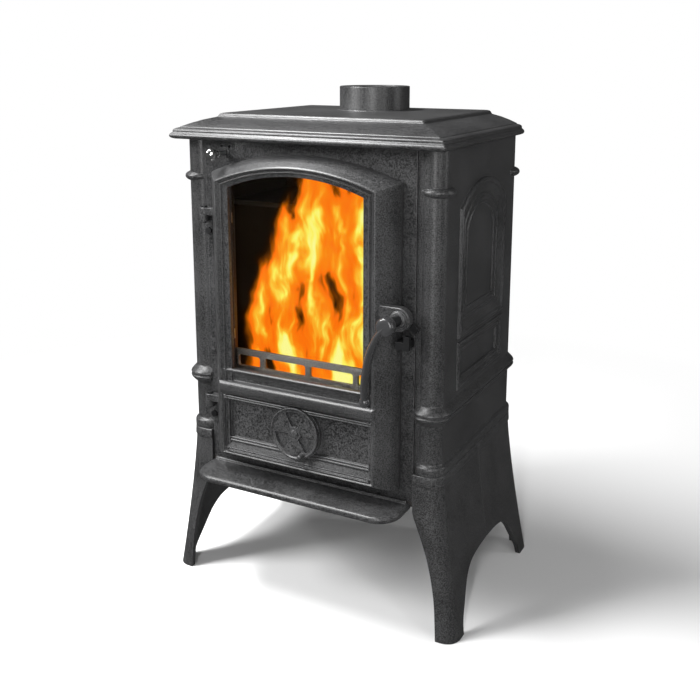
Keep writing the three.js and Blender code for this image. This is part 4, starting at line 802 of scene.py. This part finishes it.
class Graph:
    """A Geometry Nodes tree whose named inputs are given by the modifier."""

    def __init__(self, name, **defaults):
        self.tree = bpy.data.node_groups.new(name, "GeometryNodeTree")
        new_socket = self.tree.interface.new_socket
        for way in ("INPUT", "OUTPUT"):
            new_socket("Geometry", in_out=way, socket_type="NodeSocketGeometry")
        kinds = {bool: "NodeSocketBool", int: "NodeSocketInt", float: "NodeSocketFloat"}
        for key, value in defaults.items():
            socket = new_socket(key.replace("_", " "), in_out="INPUT", socket_type=kinds[type(value)])
            socket.default_value = value
        self.inputs = self.tree.nodes.new("NodeGroupInput").outputs
        self.output = self.tree.nodes.new("NodeGroupOutput").inputs[0]

    def __getitem__(self, name):
        return self.inputs[name]

    def node(self, kind, output=0, settings=None, **inputs):
        made = self.tree.nodes.new(kind if kind.startswith("ShaderNode") else "GeometryNode" + kind)
        for name, value in (settings or {}).items():
            setattr(made, name, value)
        for name, value in inputs.items():
            socket = made.inputs[int(name[1:])] if name[0] == "_" else made.inputs[name.replace("_", " ")]
            for item in value if isinstance(value, list) else [value]:
                if isinstance(item, bpy.types.NodeSocket):
                    self.tree.links.new(item, socket)
                else:
                    socket.default_value = item
        return made.outputs[output]

    def maths(self, operation, *values):
        sockets = {f"_{i}": value for i, value in enumerate(values)}
        return self.node("ShaderNodeMath", settings={"operation": operation}, **sockets)

    def moved(self, shape, x=0.0, y=0.0, z=0.0, turn=(0, 0, 0)):
        place = self.node("ShaderNodeCombineXYZ", X=x, Y=y, Z=z)
        return self.node("Transform", Geometry=shape, Translation=place, Rotation=turn)

    def joined(self, *shapes):
        return self.node("JoinGeometry", Geometry=list(shapes))

    def finished(self, shape, material):
        """The tree's result: instances made real, in one material."""
        real = self.node("RealizeInstances", Geometry=shape)
        done = self.node("SetMaterial", Geometry=real, Material=material)
        self.tree.links.new(done, self.output)


def grown(name, graph, points, edges=(), crease=33, **values):
    """An object grown by a tree over points, with its inputs in millimetres or counts."""
    mesh = bpy.data.meshes.new(name)
    mesh.from_pydata([at(*p) for p in points], list(edges), [])
    obj = bpy.data.objects.new(name, mesh)
    bpy.context.collection.objects.link(obj)
    modifier = obj.modifiers.new("grow", "NODES")
    modifier.node_group = graph.tree
    for socket in graph.tree.interface.items_tree:
        key = socket.name.replace(" ", "_")
        if socket.in_out == "INPUT" and key in values:
            value = values[key]
            modifier[socket.identifier] = value * MM if isinstance(value, float) else value
    return flat_copy(obj, crease)


twist = Graph("twisted_rope", Radius=0.0045, Groove=0.001, Strands=3, Turns=60, Steps=600, Around=18)
line = twist.node("MeshToCurve", Mesh=twist["Geometry"])
line = twist.node("ResampleCurve", Curve=line, Count=twist["Steps"])
along = twist.node("SplineParameter")
full_turn = twist.maths("MULTIPLY", twist["Turns"], math.tau)
line = twist.node("SetCurveTilt", Curve=line, Tilt=twist.maths("MULTIPLY", along, full_turn))
section = twist.node("CurvePrimitiveCircle", Resolution=twist["Around"], Radius=twist["Radius"])
lobe_turn = twist.maths("MULTIPLY", twist["Strands"], math.tau)
lobe = twist.maths("COSINE", twist.maths("MULTIPLY", along, lobe_turn))
depth = twist.maths("DIVIDE", twist["Groove"], twist["Radius"])
swell = twist.maths("MULTIPLY", twist.maths("SUBTRACT", lobe, 1.0), twist.maths("MULTIPLY", depth, 0.5))
spot = twist.node("InputPosition")
offset = twist.node("ShaderNodeVectorMath", settings={"operation": "SCALE"}, _0=spot, Scale=swell)
section = twist.node("SetPosition", Geometry=section, Offset=offset)
twist.finished(twist.node("CurveToMesh", Curve=line, Profile_Curve=section), woven.material)
ROPE_INSET, ROPE_Y = 12.5, -25.25
rope_path = rounded(door_outline(ROPE_INSET), 7, 4, closed=True)
rope_points = [(x, ROPE_Y, z) for x, z in rope_path]
rope_edges = [(i, (i + 1) % len(rope_points)) for i in range(len(rope_points))]
rope = grown("door_rope_twisted", twist, rope_points, rope_edges, 80, Radius=4.5, Groove=1.1, Turns=62)
fit(rope, "door", "rope", woven.material, "door_rope_seal")


def metal(name, colour, roughness, scratch_mm=0.5, streak=0.08):
    """Bare metal with fine marks."""
    made = Finish(name, Metallic=1.0)
    marks = made.noise(scratch_mm, 3)
    smears = made.noise(14, 3)
    made.set(
        Base_Color=made.blend(smears.clamped(), tuple(c * 0.8 for c in colour), colour),
        Roughness=(roughness + (marks - 0.5) * streak + (smears - 0.5) * streak).clamped(),
        Normal=made.softened(0.4),
    )
    return made.material


zinc = metal("zinc_plated_steel", (0.34, 0.345, 0.35), 0.42)
blackened = metal("blackened_steel", (0.07, 0.07, 0.072), 0.45)

clip = Graph("glass_clip", Length=0.019, Height=0.016, Thickness=0.002, Shank=0.002, Head=0.005)
STRIP_REACH = 3.5 * MM  # how far the strip's middle lies in from its screw
SCREW_LENGTH, SCREW_MIDDLE = 15 * MM, -6 * MM
HEAD_TOP, HEAD_HEIGHT, HEAD_MIDDLE = 3.4 * MM, 3 * MM, 1 * MM
SCREW_TURN = (-math.pi / 2, 0, 0)
strip_size = clip.node("ShaderNodeCombineXYZ", X=clip["Length"], Y=clip["Thickness"], Z=clip["Height"])
strip = clip.moved(clip.node("MeshCube", Size=strip_size), -STRIP_REACH)
shank = clip.node("MeshCylinder", Vertices=16, Radius=clip["Shank"], Depth=SCREW_LENGTH)
shank = clip.moved(shank, y=SCREW_MIDDLE, turn=SCREW_TURN)
head = clip.node("MeshCone", Vertices=24, Radius_Bottom=clip["Head"], Radius_Top=HEAD_TOP, Depth=HEAD_HEIGHT)
head = clip.moved(head, y=HEAD_MIDDLE, turn=SCREW_TURN)
side_of = clip.node("ShaderNodeSeparateXYZ", Vector=clip.node("InputPosition"))
flipped = clip.maths("MULTIPLY", clip.maths("LESS_THAN", side_of, 0.0), math.pi)
clips = clip.node(
    "InstanceOnPoints", Points=clip["Geometry"], Instance=clip.joined(strip, shank, head),
    Rotation=clip.node("ShaderNodeCombineXYZ", Y=flipped),
)
clip.finished(clips, zinc)
CLIP_MIDDLE_Y = -42.1
clip_points = [(side * CLIP_X, CLIP_MIDDLE_Y, z) for z in CLIP_HEIGHTS for side in (-1, 1)]
glass_clips = grown("glass_clips_sprung", clip, clip_points)
fit(glass_clips, "door", "zinc_steel", zinc, *(f"glass_clip_{i}" for i in range(1, 5)))

# ------------------------ air spinner
# A cast disc that turns on a stud in the middle of the lower door. Its three fan-shaped holes
# pass over those in the door, to let in air under the fire. It is turned by the peg at its rim.

DISC = [(0, -57.9), (43, -57.9), (43, -63.2), (42.2, -64.2), (40.2, -64.2), (39, -62.2), (0, -61.9)]
PEG = [(0, -74), (2.6, -74), (4, -72.4), (4.3, -61), (0, -61)]
PEG_DISTANCE, PEG_TURN = 37, math.radians(-67)
PEG_X, PEG_Z = PEG_DISTANCE * math.cos(PEG_TURN), SPINNER_Z + PEG_DISTANCE * math.sin(PEG_TURN)

disc = mesh_object("disc", [turned(rounded(DISC, 0.8), 0, 0, SPINNER_Z, "y", 72)])
centre_hole = mesh_object("centre_hole", [turned([(4.4, -70), (4.4, -50)], 0, 0, SPINNER_Z, "y", 32)])
carve(disc, sectors(-70, -50), centre_hole)
peg = mesh_object("peg", [turned(rounded(PEG, 0.8), PEG_X, 0, PEG_Z, "y", 28)])
fit(combine("air_spinner_casting", disc, peg), "spinner", "stove_black", iron, "air_spinner")

# ------------------------ door handle
# A cast lever that hangs from the latch spindle in a slow curve, oval in section and ending
# in a round knob. Turning it swings the latch cam behind its keeper on the front plate.

GRIP_Y = -98
GRIP_PATH = [(176, 516), (165, 502), (153, 478), (146, 450), (142, 422), (143, 398)]
GRIP_WIDTH, GRIP_DEPTH = 11, 20
GRIP_RINGS, GRIP_AROUND = 64, 28
KNOB_RADIUS = 8.5


def on_curve(points, t):
    """A place on the smooth curve through the points, and its direction."""
    spans = len(points) - 1
    i = min(int(t * spans), spans - 1)
    u = t * spans - i
    p = [Vector(points[max(0, min(spans, i + k))]) for k in (-1, 0, 1, 2)]
    if i == 0:
        p[0] = 2 * p[1] - p[2]
    if i == spans - 1:
        p[3] = 2 * p[2] - p[1]
    a, b = 2 * p[1], p[2] - p[0]
    c, d = 2 * p[0] - 5 * p[1] + 4 * p[2] - p[3], 3 * p[1] - p[0] - 3 * p[2] + p[3]
    return (a + b * u + c * u**2 + d * u**3) / 2, ((b + 2 * c * u + 3 * d * u**2) / 2).normalized()


grip_rings = []
for i in range(GRIP_RINGS + 1):
    t = i / GRIP_RINGS
    centre, way = on_curve(GRIP_PATH, t)
    sideways = Vector((way.y, -way.x))
    fullness = 0.86 + 0.14 * math.sin(math.pi * min(1, t * 1.2))  # thickest below its eye
    grip_ring = []
    for px, py in arc(0, 0, 1, 0, 360 - 360 / GRIP_AROUND, GRIP_AROUND - 1):
        edge = centre + sideways * px * GRIP_WIDTH / 2 * fullness
        grip_ring.append((edge.x, GRIP_Y + py * GRIP_DEPTH / 2 * fullness, edge.y))
    grip_rings.append(grip_ring)
ball = arc(0, 0, KNOB_RADIUS, -90, 90, 20)
EYE = [(0, -106.5), (8, -106.5), (12.6, -105), (14, -102), (14, -94), (12.8, -90), (11, -88), (0, -88)]
handle_shells = [
    skin(grip_rings),
    turned(ball, GRIP_PATH[-1][0], GRIP_Y, GRIP_PATH[-1][1], "y", 32),
    turned(rounded(EYE, 1.6), LATCH_X, 0, LATCH_Z, "y", 48),
]
grip_iron = Finish("grip_iron", Base_Color=(0.03, 0.03, 0.031, 1), Roughness=0.22, Specular_IOR_Level=0.6)
handle = mesh_object("door_handle_casting", handle_shells, crease=50)
fit(handle, "handle", "stove_black", grip_iron.material, "door_handle")
refinish(blackened, "handle_spindle", "cam_nut", "latch_cam", "latch_keeper")

# ------------------------ air-wash control
# A polished knob on a rod at the top left of the front plate. It pushes a round shutter off
# its ports, and the air that they let in sweeps down the glass and keeps it clean.

KNOB_X, KNOB_Z = -147, 740
KNOB = [
    (0, -68), (4.5, -67.6), (8, -65.4), (9.8, -61.5), (9.9, -58.5), (8.6, -54.5), (5.8, -51), (5.2, -48),
    (5.2, -45), (6.4, -43.4), (6.4, -42), (4.3, -42), (4.3, -53.5), (0, -53.5),
]
polished = metal("polished_steel", (0.72, 0.72, 0.71), 0.14, streak=0.05)
knob = mesh_object("air_wash_knob_turned", [turned(rounded(KNOB, 0.9), KNOB_X, 0, KNOB_Z, "y", 48)])
fit(knob, "air_wash", "polished_knob", polished, "air_wash_knob")
refinish(zinc, "air_wash_rod", "air_wash_shutter")

# ------------------------ fixings
# Zinc-plated bolts and tie rods hold the castings together. The hinge pins and the bolts of their
# brackets are blackened, and keep their solids.

refinish(blackened, "upper_hinge_bolt", "lower_hinge_bolt", "upper_hinge_pin", "lower_hinge_pin")

bolt = Graph(
    "hex_bolt", Head_Radius=0.0075, Head_Height=0.005, Shank=0.004, Length=0.025, Tail=0.002,
    Nut_Height=0.005, Nut=True,
)
CROWN_HEIGHT = 0.8 * MM
NUT_DROP = 2 * MM  # how much of the thread shows past the nut
head_radius, head_height, nut_height = bolt["Head Radius"], bolt["Head Height"], bolt["Nut Height"]
hexagon = bolt.node("MeshCylinder", Vertices=6, Radius=head_radius, Depth=head_height)
hexagon = bolt.moved(hexagon, z=bolt.maths("MULTIPLY", head_height, -0.5))
crown_foot, crown_top = (bolt.maths("MULTIPLY", head_radius, share) for share in (0.86, 0.72))
crown = bolt.node("MeshCone", Vertices=32, Depth=CROWN_HEIGHT, Radius_Bottom=crown_foot, Radius_Top=crown_top)
crown = bolt.moved(crown, z=bolt.maths("MULTIPLY", head_height, -1.0), turn=(math.pi, 0, 0))
rod_length = bolt.maths("ADD", bolt["Length"], bolt["Tail"])
rod_middle = bolt.maths("MULTIPLY", bolt.maths("SUBTRACT", bolt["Length"], bolt["Tail"]), 0.5)
rod = bolt.moved(bolt.node("MeshCylinder", Vertices=24, Radius=bolt["Shank"], Depth=rod_length), z=rod_middle)
nut = bolt.node("MeshCylinder", Vertices=6, Radius=head_radius, Depth=nut_height)
nut_reach = bolt.maths("MULTIPLY_ADD", nut_height, 0.5, NUT_DROP)
nut = bolt.moved(nut, z=bolt.maths("SUBTRACT", bolt["Length"], nut_reach))
chosen = bolt.node(
    "Switch", settings={"input_type": "GEOMETRY"}, Switch=bolt["Nut"],
    _1=bolt.joined(hexagon, crown, rod), _2=bolt.joined(hexagon, crown, rod, nut),
)
bolt.finished(bolt.node("InstanceOnPoints", Points=bolt["Geometry"], Instance=chosen), zinc)

LEG_BOLT_X, LEG_BOLT_YS, LEG_BOLT_Z = 205, (22, 267), 199.4
LIP_BOLT_X, LIP_BOLT_Z = 120, 200.7
COLLAR_BOLT_RADIUS, COLLAR_BOLT_Z = 66.5, 777.4
BOLT_COUNTS = {"leg_bolt": 4, "ash_lip_bolt": 2, "collar_bolt": 3, "tie_rod": 4}
leg_bolts = [(side * LEG_BOLT_X, y, LEG_BOLT_Z) for y in LEG_BOLT_YS for side in (-1, 1)]
lip_bolts = [(side * LIP_BOLT_X, 0, LIP_BOLT_Z) for side in (-1, 1)]
collar_circle = arc(0, FLUE_Y, COLLAR_BOLT_RADIUS, 90, 330, BOLT_COUNTS["collar_bolt"] - 1)
collar_bolts = [(x, y, COLLAR_BOLT_Z) for x, y in collar_circle]
tie_rods = [(x, y, BASE_UNDERSIDE_Z) for x, y in rod_places]
bolt_sets = [
    grown("leg_bolts", bolt, leg_bolts, Length=24.9),
    grown("lip_bolts", bolt, lip_bolts, Length=23.6),
    grown("collar_bolts", bolt, collar_bolts, Head_Radius=6.0, Shank=3.0, Length=16.6, Nut=False),
    grown("tie_rods", bolt, tie_rods, Head_Radius=8.0, Head_Height=7.5, Length=565.3, Tail=10.2, Nut=False),
]
bolted = [f"{stem}_{i + 1}" for stem, count in BOLT_COUNTS.items() for i in range(count)]
fit(combine("bolts_and_tie_rods", *bolt_sets), "stove", "zinc_steel", zinc, *bolted)

# ------------------------ fire bricks
# Pale vermiculite slabs line the sides and the back of the firebox, and keep its iron from the
# full heat. They are soft and speckled, and coloured nearly black, darkest in broad patches.

brick = Finish("vermiculite", Roughness=0.95, Specular_IOR_Level=0.08)
flecks = brick.noise(3.5, 4, 0.7)
dark_patches = brick.noise(90, 4)
brick.set(
    Base_Color=brick.blend(
        (dark_patches * 1.3 - 0.2).clamped(),
        (0.006, 0.005, 0.0045),
        brick.blend(flecks.clamped(), (0.009, 0.008, 0.007), (0.03, 0.024, 0.018)),
    ),
    Normal=brick.node("Bump", {"Strength": 0.6, "Distance": 0.8 * MM, "Height": flecks}),
)
refinish(brick.material, "rear_liner", "left_liner", "right_liner")

# ------------------------ ash pan
# A folded steel tray on two runners under the grate, with a wire bail to draw it out by.

tray = metal("blued_steel", (0.12, 0.12, 0.13), 0.5)
refinish(tray, "ash_pan", "ash_pan_handle")

# ------------------------ log guard
# A low cast fence across the door opening that keeps logs off the glass: a rail on posts,
# with rounded openings between them. Its grey is lighter than the stove's: partly ash, partly
# painted light in place of the lamp light that the glass keeps from it.

GUARD_HALF, GUARD_FRONT, GUARD_BACK = 137.5, -19, -13
GUARD_BOTTOM, GUARD_TOP = 368.3, 417
GUARD_OPENINGS = [(-132.5, -90), (-82, -4), (4, 82), (90, 132.5)]
GUARD_ROUND = 5
BOTTOM_RAIL, TOP_RAIL = 20, 10


def guard_slab(x0, x1, z0, z1, radius, levels):
    """A slab in x and z with round corners, from (inset, y) levels."""
    rings = []
    for inset, y in levels:
        left, right, low, high = x0 + inset, x1 - inset, z0 + inset, z1 - inset
        corners = [(left, low), (right, low), (right, high), (left, high)]
        rings.append([(x, y, z) for x, z in rounded(corners, radius, 5, closed=True)])
    return skin(rings)


guard_levels = [
    (1.2, GUARD_FRONT), (0.4, GUARD_FRONT + 0.4), (0, GUARD_FRONT + 1.2),
    (0, GUARD_BACK - 1), (0.8, GUARD_BACK),
]
guard = mesh_object("guard", [guard_slab(-GUARD_HALF, GUARD_HALF, GUARD_BOTTOM, GUARD_TOP, 2, guard_levels)])
openings = mesh_object("openings", [
    guard_slab(x0, x1, GUARD_BOTTOM + BOTTOM_RAIL, GUARD_TOP - TOP_RAIL, GUARD_ROUND, [(0, -25), (0, -5)])
    for x0, x1 in GUARD_OPENINGS
])
carve(guard, openings)
guard.name = "log_guard_casting"
# Lighter grey iron: partly ash, partly painted light in place of lamp light blocked by the glass.
ash_and_painted_light = stove_paint(
    "ashen_iron", (0.085, 0.082, 0.08), (0.17, 0.165, 0.16), rubbed_and_highlight=(0.2, 0.19, 0.18), gloss=0.7,
)
fit(guard, "stove", "inner_iron", ash_and_painted_light, "log_guard")

# ------------------------ fire
# The fire behind the glass isn't part of the stove. It is one upright sheet in the firebox that
# glows in flame shapes, and is clear everywhere else.

FIRE_Y = 14
FIRE_HALF, FIRE_BOTTOM, FIRE_TOP = 178, 372, 718
FIRE_FOOT, FIRE_HEIGHT = 0.37, 0.32  # where the flames start and over what height they fade, in metres
fire_corners = [(x, FIRE_Y, z) for x, z in (
    (-FIRE_HALF, FIRE_BOTTOM), (FIRE_HALF, FIRE_BOTTOM), (FIRE_HALF, FIRE_TOP), (-FIRE_HALF, FIRE_TOP),
)]
fire_mesh = mesh_object("fire", [(fire_corners, [(0, 1, 2, 3)])])
fire = Finish("fire")
across, up = (fire.node("SeparateXYZ", [fire.place], output=axis) for axis in ("X", "Z"))
height = (up - FIRE_FOOT) / FIRE_HEIGHT
warp = fire.node("TexNoise", {"Vector": fire.place, "Scale": 12.0, "Detail": 2.0}, output="Color")
warp = fire.node("VectorMath", [warp, (0.5, 0.5, 0.5)], operation="SUBTRACT")
warp = fire.node("VectorMath", {0: warp, "Scale": 0.06}, operation="SCALE")
streams = fire.node("VectorMath", [fire.place, warp], operation="ADD")
bent_across = fire.node("SeparateXYZ", [streams], output="X")
streams = fire.node("VectorMath", [streams, (1.0, 1.0, 0.27)], operation="MULTIPLY")
licks = fire.node(
    "TexNoise", {"Vector": streams, "Scale": 24.0, "Detail": 3.0, "Roughness": 0.5, "Lacunarity": 2.1},
)
left_edge = height * height * 0.1 - 0.152
body = ((bent_across - left_edge) / 0.03).clamped() * ((0.172 - across) / 0.02).clamped()
strength = (1 - height) * 0.42 + (across + 0.07) * 0.7
heat = ((licks - 0.5) * 2.5 + 0.33 + strength).clamped() * body
fire_colour = fire.node(
    "ValToRGB", [heat],
    stops=[
        (0.0, (0, 0, 0)), (0.12, (0.03, 0.008, 0)), (0.3, (0.3, 0.07, 0.001)), (0.42, (1.0, 0.17, 0.004)),
        (0.62, (1.0, 0.25, 0.006)), (0.76, (1.0, 0.5, 0.03)), (0.88, (1.0, 0.9, 0.12)),
        (1.0, (1.0, 0.98, 0.3)),
    ],
)
fire.set(
    Base_Color=(0, 0, 0, 1), Roughness=1.0, Specular_IOR_Level=0.0,
    Emission_Color=fire_colour, Emission_Strength=1.0, Alpha=(heat * 4).clamped(),
)
fire_mesh.data.materials.append(fire.material)

# ------------------------ floor, lamps and white surround
# A pale floor keeps the stove's shadow near it and runs out to white. A broad key lamp stands to
# the upper left, a long one hangs overhead, and three narrow strips draw the edges.

FLOOR_SIZE = 3.4
GLOSSY_LEVEL = 0.08  # how white the surround is in reflections


def floor():
    half = FLOOR_SIZE / 2
    mesh = bpy.data.meshes.new("floor")
    corners = [(-half, -half, 0), (half, -half, 0), (half, half, 0), (-half, half, 0)]
    mesh.from_pydata(corners, [], [(0, 1, 2, 3)])
    obj = bpy.data.objects.new("floor", mesh)
    obj.location.z = -0.0005
    bpy.context.collection.objects.link(obj)
    pale = Finish("pale_floor", Base_Color=(0.82, 0.82, 0.82, 1), Roughness=0.9, Specular_IOR_Level=0.1)
    distance = pale.node("VectorMath", [pale.place], output="Value", operation="LENGTH")
    away = ((distance - 0.45) / 1.1).clamped()
    camera_ray, glossy_ray, through_glass = (
        pale.node("LightPath", output=f"Is {kind} Ray") for kind in ("Camera", "Glossy", "Transmission")
    )
    glow = pale.tree.nodes.new("ShaderNodeEmission")
    glow.inputs["Color"].default_value = (1, 1, 1, 1)
    pale.feed(glow.inputs["Strength"], 1 - glossy_ray * (1 - GLOSSY_LEVEL))
    shown = away * pale.node("Math", [camera_ray, through_glass], operation="MAXIMUM")
    mixer = pale.tree.nodes.new("ShaderNodeMixShader")
    pale.feed(mixer.inputs[0], pale.node("Math", [shown, glossy_ray], operation="MAXIMUM"))
    pale.tree.links.new(pale.shader.outputs[0], mixer.inputs[1])
    pale.tree.links.new(glow.outputs[0], mixer.inputs[2])
    output = next(n for n in pale.tree.nodes if n.type == "OUTPUT_MATERIAL")
    pale.tree.links.new(mixer.outputs[0], output.inputs["Surface"])
    mesh.materials.append(pale.material)


def lamp(name, place, aim, size, power):
    data = bpy.data.lights.new(name, "AREA")
    data.shape = "RECTANGLE"
    data.size, data.size_y = size
    data.energy = power
    obj = bpy.data.objects.new(name, data)
    obj.location = place
    obj.rotation_euler = (Vector(aim) - Vector(place)).to_track_quat("-Z", "Y").to_euler()
    bpy.context.collection.objects.link(obj)


floor()
STOVE_MIDDLE = (0, 0, 0.5)
lamp("key", (-1.7, -1.6, 1.9), STOVE_MIDDLE, (0.9, 0.9), 84)
lamp("overhead", (-0.95, -0.55, 2.6), (0, 0, 0.7), (1.4, 0.4), 112)
lamp("front_strip", (0.86, -2.43, 1.2), STOVE_MIDDLE, (0.12, 1.7), 34)
lamp("right_strip", (2.0, -1.31, 1.15), STOVE_MIDDLE, (0.07, 1.8), 11)
lamp("right_edge", (2.28, 0.74, 1.15), STOVE_MIDDLE, (0.08, 1.6), 9)

world = bpy.data.worlds.new("surround")
world.use_nodes = True
surround = world.node_tree
background = surround.nodes["Background"]
path = surround.nodes.new("ShaderNodeLightPath")
WORLD_FILL = 0.09
level = None
for kind, value in (("Camera", 1.0), ("Transmission", 1.0), ("Glossy", GLOSSY_LEVEL)):
    seen = surround.nodes.new("ShaderNodeMath")
    seen.operation = "MULTIPLY"
    seen.inputs[1].default_value = value
    surround.links.new(path.outputs[f"Is {kind} Ray"], seen.inputs[0])
    strongest = surround.nodes.new("ShaderNodeMath")
    strongest.operation = "MAXIMUM"
    strongest.inputs[1].default_value = WORLD_FILL
    surround.links.new(seen.outputs[0], strongest.inputs[0])
    if level:
        surround.links.new(level, strongest.inputs[1])
    level = strongest.outputs[0]
background.inputs["Color"].default_value = (1, 1, 1, 1)
surround.links.new(level, background.inputs["Strength"])
bpy.context.scene.world = world
bpy.context.scene.view_settings.view_transform = "Standard"

# ------------------------ close
# The view layer is brought up to date.

bpy.context.view_layer.update()
